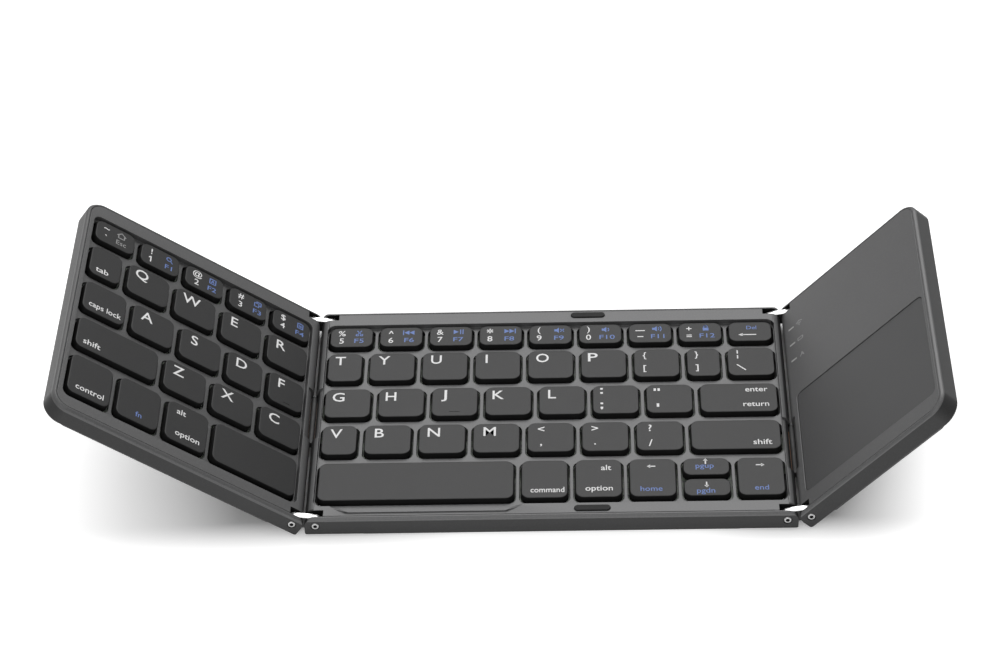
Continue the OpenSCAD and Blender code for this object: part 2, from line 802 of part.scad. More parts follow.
// Steel plate with a hole under the middle of each key
module support_plate(x0, x1, keys) {
  translate([0, 0, floor_t]) difference() {
    block([x0, -plate_y, 0], [x1, plate_y, plate_t]);
    for (k = keys) translate([k[0], k[1], -1]) cylinder(d = plate_hole_d, h = 3);
  }
}
module centre_support_plate() {
  color("silver") on_centre() support_plate(0.5 - field_x, field_x - 0.5, centre_keys);
}
module left_support_plate() {
  color("silver") on_left_wing() support_plate(left_x0 + 0.5, left_x1 - 0.5, left_keys);
}
// Switch membrane; its tail stands up to the cable at x, on the side given by out
module membrane(x0, x1) {
  block([x0, -membrane_y, floor_t + plate_t], [x1, membrane_y, membrane_z]);
}
module cable_riser(x, out, y, inner) {
  face = out * cable_end;
  back = out * (cable_end - riser_t);
  block([x + min(face, back), y - cable_w / 2, floor_t + plate_t],
        [x + max(face, back), y + cable_w / 2, riser_z]);
  block([min(x + face, inner), y - cable_w / 2, floor_t + plate_t],
        [max(x + face, inner), y + cable_w / 2, membrane_z]);
}
module centre_membrane() {
  color("darkolivegreen") on_centre() {
    membrane(0.8 - field_x, field_x - 0.8);
    cable_riser(-pivot_x, -1, 0, -field_x + 1);
    cable_riser(pivot_x, 1, right_sleeve_y, field_x - 1);
  }
}
module left_membrane() {
  color("darkolivegreen") on_left_wing() {
    membrane(left_x0 + 0.8, left_x1 - 0.8);
    cable_riser(-wing_pivot_x, 1, 0, left_x1 - 1);
  }
}
// Widths that the parts under a key may have
function skirt_room(k) = k[3] - 2 * skirt_t;
function arm_outer(k) = min(skirt_room(k) - 0.5, 10);
function dome_d(k) = min(arm_outer(k) - 4 * arm_bar - 2 * arm_gap - 0.2, 6.4);
function stem_d(k) = dome_d(k) > 3 ? 2.8 : 2;
// Hollow rubber dome that carries a key's stem
module dome(k) {
  r = dome_d(k) / 2;
  top = stem_d(k) / 2;
  rise = skirt_z - membrane_z;
  translate([k[0], k[1], membrane_z]) rotate_extrude()
    polygon([[r, 0], [r, 0.25], [top, rise - 0.8], [top, rise], [0, rise], [0, rise - 1],
             [top - 0.35, rise - 1], [r - 0.35, 0.3], [r - 0.35, 0]]);
}
// One arm of a scissor guide: a flat frame turned about its middle
module scissor_arm(len, w, angle) {
  rotate([0, angle, 0]) difference() {
    cube([len, w, arm_bar], center = true);
    cube([len - 2 * arm_bar, w - 2 * arm_bar, 2], center = true);
  }
}
module scissor(k) {
  w = arm_outer(k);
  translate([k[0], k[1], (membrane_z + key_top - cap_t) / 2]) {
    scissor_arm(arm_len, w, arm_angle);
    scissor_arm(arm_len, w - 2 * (arm_bar + arm_gap), -arm_angle);
  }
}
module centre_domes() {
  color("lightgrey") on_centre() for (k = centre_keys) dome(k);
}
module left_domes() {
  color("lightgrey") on_left_wing() for (k = left_keys) dome(k);
}
module centre_scissors() {
  color("white") on_centre() for (k = centre_keys) scissor(k);
}
module left_scissors() {
  color("white") on_left_wing() for (k = left_keys) scissor(k);
}

// ---- Inside the right wing -----------------------------------------------------------

module touchpad() {
  color([0.29, 0.29, 0.3]) on_right_wing() translate([pad_x, pad_y, panel_t - cover_t])
    linear_extrude(height = pad_t) round_rect(pad_w, pad_d, key_r - pad_gap);
}
// Sensor board glued under the touchpad, and under the cover round three sides of its opening
module touch_board() {
  top = panel_t - cover_t;
  color("darkgreen") on_right_wing()
    block([room_near + 0.1, pad_front - pad_ledge, top - board_t],
          [room_far - 0.2, pad_front + pad_d + pad_ledge, top]);
}
// Chip or module on the main board, between two corners
module board_part(x0, y0, x1, y1, h) {
  block([wing_x + x0, y0, board_z + board_t - eps], [wing_x + x1, y1, board_z + board_t + h]);
}
// Radio and charging board, with a leg along the hinge that holds the cable's connector
module main_board() {
  color("green") on_right_wing() {
    block([board_near, board_front, board_z], [board_far, board_back, board_z + board_t]);
    block([board_near, right_sleeve_y - cable_w / 2 - 1, board_z],
          [board_near + leg_w, board_front + eps, board_z + board_t]);
    block([socket_x - tongue_w / 2, board_back - eps, board_z],
          [socket_x + tongue_w / 2, tongue_back, board_z + board_t]);
    // connector for the cable
    block([wing_pivot_x - cable_end + 0.05, right_sleeve_y - cable_w / 2, board_z + board_t - eps],
          [board_near + leg_w - 0.6, right_sleeve_y + cable_w / 2, riser_z]);
    // radio module, controller and crystal
    board_part(16, 24, 26, 36, 1.6);
    board_part(14, 12, 21, 19, 0.9);
    board_part(24, 14, 27.2, 16.5, 0.8);
    // the board stands on four posts
    for (x = [8, 52], y = [board_front + 3, board_back - 3])
      translate([wing_x + x, y, floor_t]) cylinder(d = 3, h = board_z - floor_t + eps);
  }
}
module battery() {
  color("silver") on_right_wing()
    translate([wing_x + 34, -18.5, floor_t]) bevel_block(44, 38, 3.2, 1.5, 0.6, 0.6);
}
// Charging socket with its tongue, mouth towards +Y
module charging_socket() {
  color("silver") on_right_wing() translate([socket_x, half_d - socket_back, socket_z]) {
    difference() {
      rotate([90, 0, 0]) linear_extrude(height = socket_l) stadium(socket_w, socket_t);
      translate([0, eps, 0]) rotate([90, 0, 0]) linear_extrude(height = socket_l - 1)
        stadium(socket_w - 0.6, socket_t - 0.6);
    }
    block([-3.3, 1 - socket_l - eps, -0.35], [3.3, -1.2, 0.35]);
  }
}
module light_pipes() {
  color("white") on_right_wing() for (y = lamp_y)
    translate([lamp_x, y, board_z + board_t]) linear_extrude(height = panel_t - board_z - board_t)
      square(lamp_size - [0.1, 0.1], center = true);
}

// ---- Keys ---------------------------------------------------------------------------

// Hollow keycap with a stem
module keycap(k) {
  translate([k[0], k[1], skirt_z]) {
    difference() {
      bevel_block(k[2], k[3], key_top - skirt_z, key_r, 0.1, key_bevel);
      translate([0, 0, -1]) linear_extrude(height = key_top - skirt_z - cap_t + 1)
        square([k[2] - 2 * skirt_t, k[3] - 2 * skirt_t], center = true);
    }
    cylinder(d = stem_d(k), h = key_top - skirt_z - cap_t / 2);
  }
}
module keys(list) {
  color([0.25, 0.25, 0.26]) for (k = list) keycap(k);
}
module left_number_keys() {
  on_left_wing() keys(left_number_keys);
}
module left_q_keys() {
  on_left_wing() keys(left_q_keys);
}
module left_a_keys() {
  on_left_wing() keys(left_a_keys);
}
module left_z_keys() {
  on_left_wing() keys(left_z_keys);
}
module tab_key() {
  on_left_wing() keys(tab_key);
}
module caps_lock_key() {
  on_left_wing() keys(caps_lock_key);
}
module left_shift_key() {
  on_left_wing() keys(left_shift_key);
}
module control_key() {
  on_left_wing() keys(control_key);
}
module fn_key() {
  on_left_wing() keys(fn_key);
}
module left_option_key() {
  on_left_wing() keys(left_option_key);
}
module left_space_bar() {
  on_left_wing() keys(left_space_bar);
}
module centre_number_keys() {
  on_centre() keys(centre_number_keys);
}
module centre_t_keys() {
  on_centre() keys(centre_t_keys);
}
module centre_g_keys() {
  on_centre() keys(centre_g_keys);
}
module centre_v_keys() {
  on_centre() keys(centre_v_keys);
}
module enter_key() {
  on_centre() keys(enter_key);
}
module right_shift_key() {
  on_centre() keys(right_shift_key);
}
module right_space_bar() {
  on_centre() keys(right_space_bar);
}
module command_key() {
  on_centre() keys(command_key);
}
module right_option_key() {
  on_centre() keys(right_option_key);
}
module left_arrow_key() {
  on_centre() keys(left_arrow_key);
}
module up_arrow_key() {
  on_centre() keys(up_arrow_key);
}
module down_arrow_key() {
  on_centre() keys(down_arrow_key);
}
module right_arrow_key() {
  on_centre() keys(right_arrow_key);
}

centre_bottom_shell();
centre_top_frame();
centre_support_plate();
centre_membrane();
centre_domes();
centre_scissors();
centre_feet();
centre_screws();
centre_hinge_pins();
rest_bumpers();
left_hinge_links();
left_cable_sleeve();
left_flex_cable();
left_bottom_shell();
left_top_frame();
left_support_plate();
left_membrane();
left_domes();
left_scissors();
left_feet();
left_screws();
left_hinge_pins();
right_hinge_links();
right_cable_sleeve();
right_flex_cable();
right_bottom_shell();
right_top_cover();
touchpad();
touch_board();
main_board();
battery();
charging_socket();
light_pipes();
right_feet();
right_screws();
right_hinge_pins();
left_number_keys();
left_q_keys();
left_a_keys();
left_z_keys();
tab_key();
caps_lock_key();
left_shift_key();
control_key();
fn_key();
left_option_key();
left_space_bar();
centre_number_keys();
centre_t_keys();
centre_g_keys();
centre_v_keys();
enter_key();
right_shift_key();
right_space_bar();
command_key();
right_option_key();
left_arrow_key();
up_arrow_key();
down_arrow_key();
right_arrow_key();
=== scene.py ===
import json
import math

import bmesh
import bpy
from mathutils import Matrix, Vector


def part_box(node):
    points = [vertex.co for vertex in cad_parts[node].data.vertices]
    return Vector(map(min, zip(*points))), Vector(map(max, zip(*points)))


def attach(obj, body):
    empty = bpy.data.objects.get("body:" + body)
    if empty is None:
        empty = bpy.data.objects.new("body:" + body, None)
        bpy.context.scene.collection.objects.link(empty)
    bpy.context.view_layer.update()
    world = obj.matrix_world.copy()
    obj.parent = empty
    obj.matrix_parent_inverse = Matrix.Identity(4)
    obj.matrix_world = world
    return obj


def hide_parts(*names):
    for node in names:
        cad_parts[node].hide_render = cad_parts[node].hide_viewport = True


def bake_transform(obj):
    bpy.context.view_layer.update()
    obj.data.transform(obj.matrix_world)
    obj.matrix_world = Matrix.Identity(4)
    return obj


# A folding keyboard with two raised wings.
# Sizes below are millimetres on a panel lying flat: x across, y away from the typist,
# z up from the underside of its shell. place[...] takes them to where the panel rests.

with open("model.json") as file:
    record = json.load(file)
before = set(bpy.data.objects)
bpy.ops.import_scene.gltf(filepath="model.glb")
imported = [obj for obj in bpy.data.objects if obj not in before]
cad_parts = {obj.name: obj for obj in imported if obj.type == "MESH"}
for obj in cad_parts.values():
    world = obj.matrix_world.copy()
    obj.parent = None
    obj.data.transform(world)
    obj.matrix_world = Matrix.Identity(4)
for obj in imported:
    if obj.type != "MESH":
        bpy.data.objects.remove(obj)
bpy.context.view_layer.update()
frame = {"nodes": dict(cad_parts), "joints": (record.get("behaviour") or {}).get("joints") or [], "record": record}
joints = {j["name"]: j for j in frame["joints"]}
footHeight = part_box("centre_bottom_shell")[0].z
scene = bpy.context.scene


def jointSpot(name):
    return Vector(joints[name]["pos_m"])


def restTurn(name):  # how far a hinge already stands open at rest
    joint = joints[name]
    return Matrix.Rotation(-math.radians(joint["range_deg"][0]), 4, Vector(joint["axis"]))


def linkSpan(side):  # between a link's two pivots
    return (jointSpot(side + "_wing_hinge") - jointSpot(side + "_link_hinge")).length


def panelPlaces():
    flat = Matrix.Translation((0, 0, footHeight)) @ Matrix.Scale(0.001, 4)
    places = {"centre": flat}
    for side in ("left", "right"):
        inner, outer = jointSpot(side + "_link_hinge"), jointSpot(side + "_wing_hinge")
        reach = Vector((math.copysign(linkSpan(side), inner.x), 0, 0))
        linkTurn = restTurn(side + "_link_hinge")
        wingTurn = linkTurn @ restTurn(side + "_wing_hinge")
        places[side + "Link"] = (
            Matrix.Translation(inner) @ linkTurn @ Matrix.Translation(-inner) @ flat)
        places[side] = (
            Matrix.Translation(outer) @ wingTurn @ Matrix.Translation(-inner - reach) @ flat)
    return places


place = panelPlaces()
bodyOf = {"centre": "centre", "left": "left_wing", "right": "right_wing"}
pivotInset = 3.35  # from a pivot line to the panel's edge, and to its top
hingeSide = {  # x of each wing's hinge side, lying flat
    side: math.copysign(
        (abs(jointSpot(side + "_link_hinge").x) + linkSpan(side)) * 1000 - pivotInset,
        jointSpot(side + "_link_hinge").x)
    for side in ("left", "right")}
pivotHeight = (jointSpot("left_link_hinge").z - footHeight) * 1000
panelTop = pivotHeight + pivotInset


# Materials

def newNode(tree, kind, **values):
    node = tree.nodes.new(kind)
    for key, value in values.items():
        setattr(node, key, value)
    return node


def setInputs(node, values):
    for key, value in values.items():
        node.inputs[key].default_value = value


def colourOf(grey, tint=(1, 1, 1)):
    return (grey * tint[0], grey * tint[1], grey * tint[2], 1)


def mixColour(tree, factor, low, high):
    mix = newNode(tree, "ShaderNodeMix", data_type="RGBA")
    tree.links.new(factor, mix.inputs["Factor"])
    for socket, value in ((6, low), (7, high)):
        if isinstance(value, bpy.types.NodeSocket):
            tree.links.new(value, mix.inputs[socket])
        else:
            mix.inputs[socket].default_value = value
    return mix.outputs[2]


def remap(tree, value, low, high, fromLow=0.3, fromHigh=0.7):
    node = newNode(tree, "ShaderNodeMapRange")
    setInputs(node, {"From Min": fromLow, "From Max": fromHigh, "To Min": low, "To Max": high})
    tree.links.new(value, node.inputs["Value"])
    return node.outputs["Result"]


def mathNode(tree, operation, *values):
    node = newNode(tree, "ShaderNodeMath", operation=operation)
    for socket, value in zip(node.inputs, values):
        if isinstance(value, bpy.types.NodeSocket):
            tree.links.new(value, socket)
        else:
            socket.default_value = value
    return node.outputs[0]


def noise(tree, coords, scale, detail=2.0, stretch=None):
    if stretch:
        mapping = newNode(tree, "ShaderNodeMapping")
        mapping.inputs["Scale"].default_value = stretch
        tree.links.new(coords, mapping.inputs["Vector"])
        coords = mapping.outputs["Vector"]
    node = newNode(tree, "ShaderNodeTexNoise")
    setInputs(node, {"Scale": scale, "Detail": detail, "Roughness": 0.55})
    tree.links.new(coords, node.inputs["Vector"])
    return node.outputs["Fac"]


def makeFinish(name, look):
    material = bpy.data.materials.new(name)
    material.use_nodes = True
    tree = material.node_tree
    shader = tree.nodes["Principled BSDF"]
    coords = newNode(tree, "ShaderNodeTexCoord").outputs["Object"]
    tint = look.get("tint", (1, 1, 1))
    broad = noise(tree, coords, look.get("patch", 45), 3.0)
    low = colourOf(look["grey"] * (1 - look["vary"]), tint)
    high = colourOf(look["grey"] * (1 + look["vary"]), tint)
    colour = mixColour(tree, remap(tree, broad, 0, 1), low, high)
    grain = noise(tree, coords, look["grain"], 2.0, look.get("brush"))
    if look.get("speck"):  # fine flakes in the paint
        flake = remap(tree, grain, 0, 1, fromLow=0.42, fromHigh=0.72)
        colour = mixColour(tree, flake, colour, colourOf(look["grey"] * (1 + look["speck"]), tint))
    if look.get("lines"):  # printed tracks or laminate lines
        colour = lineColour(tree, coords, colour, look)
    tree.links.new(colour, shader.inputs["Base Color"])
    rough = remap(tree, grain, look["rough"] - look["roughVary"], look["rough"] + look["roughVary"])
    tree.links.new(rough, shader.inputs["Roughness"])
    bump = newNode(tree, "ShaderNodeBump")
    setInputs(bump, {"Strength": look.get("relief", 0.5), "Distance": look["depth"] / 1000})
    tree.links.new(grain, bump.inputs["Height"])
    tree.links.new(bump.outputs["Normal"], shader.inputs["Normal"])
    for key, value in look.get("shader", {}).items():
        shader.inputs[key].default_value = value
    material.diffuse_color = high
    return material


def lineColour(tree, coords, colour, look):
    lines = look["lines"]
    cells = newNode(tree, "ShaderNodeTexBrick")
    setInputs(cells, {
        "Scale": 1.0, "Mortar Size": lines["width"] / 1000, "Mortar Smooth": 0.1,
        "Brick Width": lines["step"][0] / 1000, "Row Height": lines["step"][1] / 1000,
        "Color1": (0, 0, 0, 1), "Color2": (0, 0, 0, 1), "Mortar": (1, 1, 1, 1)})
    tree.links.new(coords, cells.inputs["Vector"])
    return mixColour(tree, cells.outputs["Fac"], colour, colourOf(1, lines["colour"]))


casePaint = {
    "tint": (1, 1.0, 1.01), "vary": 0.03, "patch": 25, "grain": 2200, "rough": 0.44,
    "roughVary": 0.06, "depth": 0.010, "speck": 0.22, "shader": {"Metallic": 0.35}}
printInk = {"vary": 0.03, "grain": 5000, "rough": 0.55, "roughVary": 0.05, "depth": 0.004}
looks = {
    "shellPlastic": {
        "grey": 0.020, "tint": (1, 1.0, 1.02), "vary": 0.06, "grain": 2600, "rough": 0.40,
        "roughVary": 0.05, "depth": 0.012, "speck": 0.35,
        "shader": {"Specular IOR Level": 0.36}},
    "framePaint": {**casePaint, "grey": 0.112},
    # the frame paint made darker for the left wing, as painted shade
    "leftPaintWithPaintedShade": {**casePaint, "grey": 0.095},
    "coverPaint": {**casePaint, "grey": 0.110},
    "keyPlastic": {
        "grey": 0.018, "tint": (1, 1.0, 1.02), "vary": 0.05, "patch": 60, "grain": 3400,
        "rough": 0.46, "roughVary": 0.06, "depth": 0.012,
        "shader": {"Specular IOR Level": 0.35}},
    # the keys' side walls, darker than the tops as painted shade
    "keySidePaintedShade": {
        "grey": 0.006, "vary": 0.08, "patch": 60, "grain": 3400, "rough": 0.50,
        "roughVary": 0.06, "depth": 0.012, "shader": {"Specular IOR Level": 0.22}},
    "padFilm": {
        "grey": 0.056, "tint": (1, 1.0, 1.02), "vary": 0.03, "patch": 20, "grain": 3800,
        "rough": 0.42, "roughVary": 0.04, "depth": 0.005},
    "whiteInk": {**printInk, "grey": 0.80},
    "greyInk": {**printInk, "grey": 0.30},
    "blueInk": {**printInk, "grey": 1.0, "tint": (0.13, 0.21, 0.50)},
    "linkSteel": {
        "grey": 0.70, "vary": 0.03, "grain": 900, "brush": (0.25, 3, 1), "rough": 0.30,
        "roughVary": 0.08, "depth": 0.006, "shader": {"Metallic": 1.0}},
    "linkSidePaintedShade": {  # the links' flat sides, which turn against the lugs, darker as painted shade
        "grey": 0.05, "vary": 0.06, "grain": 1200, "rough": 0.45, "roughVary": 0.08,
        "depth": 0.006, "shader": {"Metallic": 0.6}},
    "pinSteel": {
        "grey": 0.46, "vary": 0.05, "grain": 1800, "rough": 0.30, "roughVary": 0.07,
        "depth": 0.004, "shader": {"Metallic": 1.0}},
    "paintedRecessShade": {  # painted shade inside the notches and sockets
        "grey": 0.004, "vary": 0.1, "grain": 2500, "rough": 0.7, "roughVary": 0.1,
        "depth": 0.01, "shader": {"Specular IOR Level": 0.15}},
    "screwSteel": {
        "grey": 0.30, "tint": (1, 0.98, 0.96), "vary": 0.05, "grain": 1500, "rough": 0.32,
        "roughVary": 0.08, "depth": 0.006, "shader": {"Metallic": 1.0}},
    "plateSteel": {
        "grey": 0.55, "vary": 0.05, "patch": 30, "grain": 700, "brush": (0.15, 4, 1),
        "rough": 0.38, "roughVary": 0.08, "depth": 0.006, "shader": {"Metallic": 1.0}},
    "membraneFilm": {
        "grey": 0.42, "tint": (0.82, 0.95, 0.78), "vary": 0.05, "grain": 900, "rough": 0.35,
        "roughVary": 0.05, "depth": 0.004,
        "lines": {"step": (17.2, 2.9), "width": 0.25, "colour": (0.25, 0.26, 0.27)}},
    "cableFilm": {
        "grey": 0.30, "tint": (1, 0.42, 0.10), "vary": 0.06, "grain": 1200, "rough": 0.30,
        "roughVary": 0.06, "depth": 0.004,
        "lines": {"step": (60, 1.0), "width": 0.3, "colour": (0.20, 0.07, 0.02)}},
    "domeSilicone": {
        "grey": 0.62, "tint": (1, 1, 0.97), "vary": 0.04, "grain": 1500, "rough": 0.45,
        "roughVary": 0.05, "depth": 0.006, "shader": {"Subsurface Weight": 0.3}},
    "scissorNylon": {
        "grey": 0.72, "vary": 0.03, "grain": 1800, "rough": 0.42, "roughVary": 0.06,
        "depth": 0.008},
    "footRubber": {
        "grey": 0.018, "vary": 0.15, "grain": 2400, "rough": 0.78, "roughVary": 0.08,
        "depth": 0.03},
    "bumperRubber": {
        "grey": 0.014, "vary": 0.12, "grain": 3000, "rough": 0.55, "roughVary": 0.08,
        "depth": 0.015, "shader": {"Specular IOR Level": 0.18}},
    "sleeveRubber": {
        "grey": 0.040, "vary": 0.12, "grain": 1600, "brush": (1, 0.3, 1), "rough": 0.62,
        "roughVary": 0.08, "depth": 0.03},
    "boardLaminate": {
        "grey": 0.16, "tint": (0.12, 0.60, 0.26), "vary": 0.10, "grain": 1500, "rough": 0.34,
        "roughVary": 0.06, "depth": 0.01,
        "lines": {"step": (7.5, 1.9), "width": 0.22, "colour": (0.08, 0.22, 0.08)}},
    "batteryFoil": {
        "grey": 0.62, "vary": 0.05, "patch": 120, "grain": 160, "rough": 0.30,
        "roughVary": 0.10, "depth": 0.12, "shader": {"Metallic": 0.9}},
    "socketSteel": {
        "grey": 0.62, "vary": 0.04, "grain": 900, "brush": (3, 0.3, 1), "rough": 0.28,
        "roughVary": 0.08, "depth": 0.006, "shader": {"Metallic": 1.0}},
    "lampPlastic": {
        "grey": 0.34, "tint": (1, 1, 0.98), "vary": 0.05, "grain": 1500, "rough": 0.30,
        "roughVary": 0.05, "depth": 0.004},
}
finishes = {name: makeFinish(name, look) for name, look in looks.items()}
print("finishes made:", len(finishes))


# Helpers for pieces

mergeDistance = 0.002  # mm, between corners that are one
softening = {"flatAngle": 0.5, "edgeAngle": 32, "shadeAngle": 60}
endFacing = 0.7  # a normal with more of y than this looks along the hinge


def addObject(name, data):
    made = bpy.data.objects.new(name, data)
    scene.collection.objects.link(made)
    return made


def putMesh(name, mesh, body, finish, replaced=()):
    piece = addObject(name, mesh)
    if finish:
        mesh.materials.clear()
        mesh.materials.append(finishes[finish])
    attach(piece, body)
    if replaced:
        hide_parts(*replaced)
    return piece


def meshFrom(bm, name, matrix):
    bmesh.ops.recalc_face_normals(bm, faces=bm.faces)
    bm.transform(matrix)
    mesh = bpy.data.meshes.new(name)
    bm.to_mesh(mesh)
    bm.free()
    return mesh


def mergedSkin(node):  # a CAD node's loose triangles joined to one skin
    bm = bmesh.new()
    bm.from_mesh(frame["nodes"][node].data)
    bmesh.ops.remove_doubles(bm, verts=bm.verts, dist=mergeDistance / 1000)
    return bm


def rectangle(x0, y0, x1, y1):
    return [(x0, y0), (x1, y0), (x1, y1), (x0, y1)]


def middles(box):  # of a box given as its reach along x, y and z
    return [(low + high) / 2 for low, high in box]


def evenShading(mesh, angle):
    mesh.shade_smooth()
    mesh.set_sharp_from_angle(angle=math.radians(angle))


def bakeModifiers(piece, matrix=None):
    bpy.context.view_layer.update()
    graph = bpy.context.evaluated_depsgraph_get()
    mesh = bpy.data.meshes.new_from_object(
        piece.evaluated_get(graph), preserve_all_data_layers=True, depsgraph=graph)
    if matrix:
        mesh.transform(matrix)
    name = piece.name
    bpy.data.objects.remove(piece)
    mesh.name = name
    return mesh


def roundedMesh(name, bm, radius, steps, tones):
    bmesh.ops.dissolve_limit(bm, angle_limit=math.radians(softening["flatAngle"]),
                             verts=bm.verts, edges=bm.edges, delimit={"MATERIAL"})
    mesh = bpy.data.meshes.new(name)
    for tone in tones:
        mesh.materials.append(finishes[tone])
    bm.to_mesh(mesh)
    bm.free()
    work = addObject(name, mesh)
    bevel = work.modifiers.new("edges", "BEVEL")
    bevel.width = radius / 1000
    bevel.segments = steps
    bevel.limit_method = "ANGLE"
    bevel.angle_limit = math.radians(softening["edgeAngle"])
    bevel.use_clamp_overlap = False
    bevel.miter_outer = "MITER_ARC"
    evenShading(mesh, softening["shadeAngle"])
    weighted = work.modifiers.new("normals", "WEIGHTED_NORMAL")
    weighted.keep_sharp = True
    return bakeModifiers(work)


def softenedPiece(node, finish, radius, steps):
    body = next(b for b, names in frame["record"]["behaviour"]["bodies"].items() if node in names)
    bm = mergedSkin(node)
    tones = [finish]
    if node in caseParts:
        tones = paintFaces(bm, *caseParts[node])
    elif finish == "linkSteel":
        # the links' flat sides take painted shade
        bm.normal_update()
        for face in bm.faces:
            face.material_index = 1 if abs(face.normal.y) > endFacing else 0
        tones = [finish, "linkSidePaintedShade"]
    mesh = roundedMesh(node + "_soft_edges", bm, radius, steps, tones)
    putMesh(node + "_soft_edges", mesh, body, None, [node])


# Shells and frames in two tones: the light paint of the frame runs over the shell's top edge; hinge beads, a band
# of the thumb relief and the notches take painted shade

caseParts = {  # node to panel and kind
    "centre_bottom_shell": ("centre", "shell"), "left_bottom_shell": ("left", "shell"),
    "right_bottom_shell": ("right", "shell"), "centre_top_frame": ("centre", "frame"),
    "left_top_frame": ("left", "frame"), "right_top_cover": ("right", "frame")}
caseLook = {
    "paint": {"centre": "framePaint", "left": "leftPaintWithPaintedShade", "right": "coverPaint"},
    "lipHeight": {"centre": 1.28, "left": 1.6, "right": 1.0}, "lipFacing": -0.1,
    "notchReach": 2.5, "notchFrom": 45.1, "notchTo": 47.95, "notchFloor": 0.95,
    "notchRoof": 0.2, "notchSlack": 0.02, "beadPaintedShadeTilt": 42, "beadSlack": 0.01,
    "reliefPaintedShade": (-45.9, -44.5),  # painted shade in the thumb relief, front and back of its band
    "reliefFacing": 0.5, "reliefDrop": 0.08}
caseTones = {"paint": 0, "shell": 1, "shade": 2}


def pivotPlace(panel, side):  # x of a pivot line on a panel lying flat
    if panel == "centre":
        return jointSpot(side + "_link_hinge").x * 1000
    return hingeSide[side] + math.copysign(pivotInset, hingeSide[side])


def cutAcross(bm, spot, direction):
    bmesh.ops.bisect_plane(bm, geom=bm.verts[:] + bm.edges[:] + bm.faces[:], dist=1e-4,
                           plane_co=spot, plane_no=direction)


def caseTone(middle, normal, past, kind, relief, lip):
    c = caseLook
    front, back = c["reliefPaintedShade"]
    # notch walls and floors take the painted shade
    if (past > -c["notchReach"] - c["notchSlack"]
            and c["notchFloor"] < middle.z < panelTop - c["notchRoof"]
            and c["notchFrom"] < abs(middle.y) < c["notchTo"]):
        return "shade"
    # the hinge bead's steeper faces take the dark shell plastic as painted shade
    if (past > c["beadSlack"] and abs(normal.y) < endFacing
            and normal.z < math.cos(math.radians(c["beadPaintedShadeTilt"]))):
        return "shell"
    if kind == "shell" and middle.z > lip and normal.z > c["lipFacing"]:
        return "paint"
    # a band of the thumb relief's floor takes the dark shell plastic as painted shade
    if (relief and normal.z > c["reliefFacing"] and middle.z < panelTop - c["reliefDrop"]
            and front < middle.y < back):
        return "shell"
    return "shell" if kind == "shell" else "paint"


def paintFaces(bm, panel, kind):
    bm.transform(place[panel].inverted())
    sides = ("left", "right") if panel == "centre" else (panel,)
    inward = {s: (-1 if panel == "centre" else 1) * math.copysign(1, hingeSide[s]) for s in sides}
    lip = panelTop - caseLook["lipHeight"][panel]
    relief = (panel, kind) == ("centre", "frame")
    for s in sides:
        cutAcross(bm, (pivotPlace(panel, s) + inward[s] * caseLook["notchReach"], 0, 0), (1, 0, 0))
    if kind == "shell":
        cutAcross(bm, (0, 0, lip), (0, 0, 1))
    if relief:
        for y in caseLook["reliefPaintedShade"]:
            cutAcross(bm, (0, y, 0), (0, 1, 0))
    bm.normal_update()
    for face in bm.faces:
        middle = face.calc_center_median()
        side = sides[-1] if middle.x > 0 else sides[0]
        past = (middle.x - pivotPlace(panel, side)) * -inward[side]  # beyond the pivot line
        tone = caseTone(middle, face.normal, past, kind, relief, lip)
        face.material_index = caseTones[tone]
    bm.transform(place[panel])
    return [caseLook["paint"][panel], "shellPlastic", "paintedRecessShade"]


softEdges = [  # node, finish, slot, edge radius
    ("centre_bottom_shell", None, "shell_plastic", 0.12),
    ("left_bottom_shell", None, "shell_plastic", 0.12),
    ("right_bottom_shell", None, "shell_plastic", 0.12),
    ("centre_top_frame", None, "frame_plastic", 0.12),
    ("left_top_frame", None, "wing_frame_plastic", 0.12),
    ("right_top_cover", None, "wing_frame_plastic", 0.12),
    ("touchpad", "padFilm", "touchpad_film", 0.10),
    ("left_hinge_links", "linkSteel", "link_steel", 0.25),
    ("right_hinge_links", "linkSteel", "link_steel", 0.25),
    ("rest_bumpers", "bumperRubber", "bumper_rubber", 0.20),
    ("centre_feet", "footRubber", "foot_rubber", 0.20),
    ("left_feet", "footRubber", "foot_rubber", 0.20),
    ("right_feet", "footRubber", "foot_rubber", 0.20),
    ("left_cable_sleeve", "sleeveRubber", "sleeve_rubber", 0.10),
    ("right_cable_sleeve", "sleeveRubber", "sleeve_rubber", 0.10),
    ("battery", "batteryFoil", "battery_foil", 0.25),
    ("charging_socket", "socketSteel", "socket_steel", 0.06),
]
for node, finish, slot, radius in softEdges:
    softenedPiece(node, finish, radius, 3 if slot == "link_steel" else 2)
print("edges softened on", len(softEdges), "parts")


# CAD parts that keep their mesh

keptParts = {
    "centre_support_plate": "plateSteel", "left_support_plate": "plateSteel",
    "centre_membrane": "membraneFilm", "left_membrane": "membraneFilm",
    "touch_board": "boardLaminate", "main_board": "boardLaminate",
    "light_pipes": "lampPlastic",
}
for node, finish in keptParts.items():
    mesh = frame["nodes"][node].data
    mesh.materials.clear()
    mesh.materials.append(finishes[finish])


# Keys

keycap = {
    "cornerRadius": 2.8, "leastRadius": 0.15, "taper": 0.32, "edgeRadius": 0.22,
    "topInset": 0.3, "footBevel": 0.12, "wall": 0.9, "roof": 1.0, "cornerSteps": 6,
    "edgeSteps": 3, "sideSlope": 0.55, "shadeAngle": 40,
    "stem": 2.8, "slimStem": 2.0, "slimDepth": 8.6,  # keys less deep than this have slim stems
    "stemTaper": 0.1, "stemDrop": 0.5, "stemSides": 16}


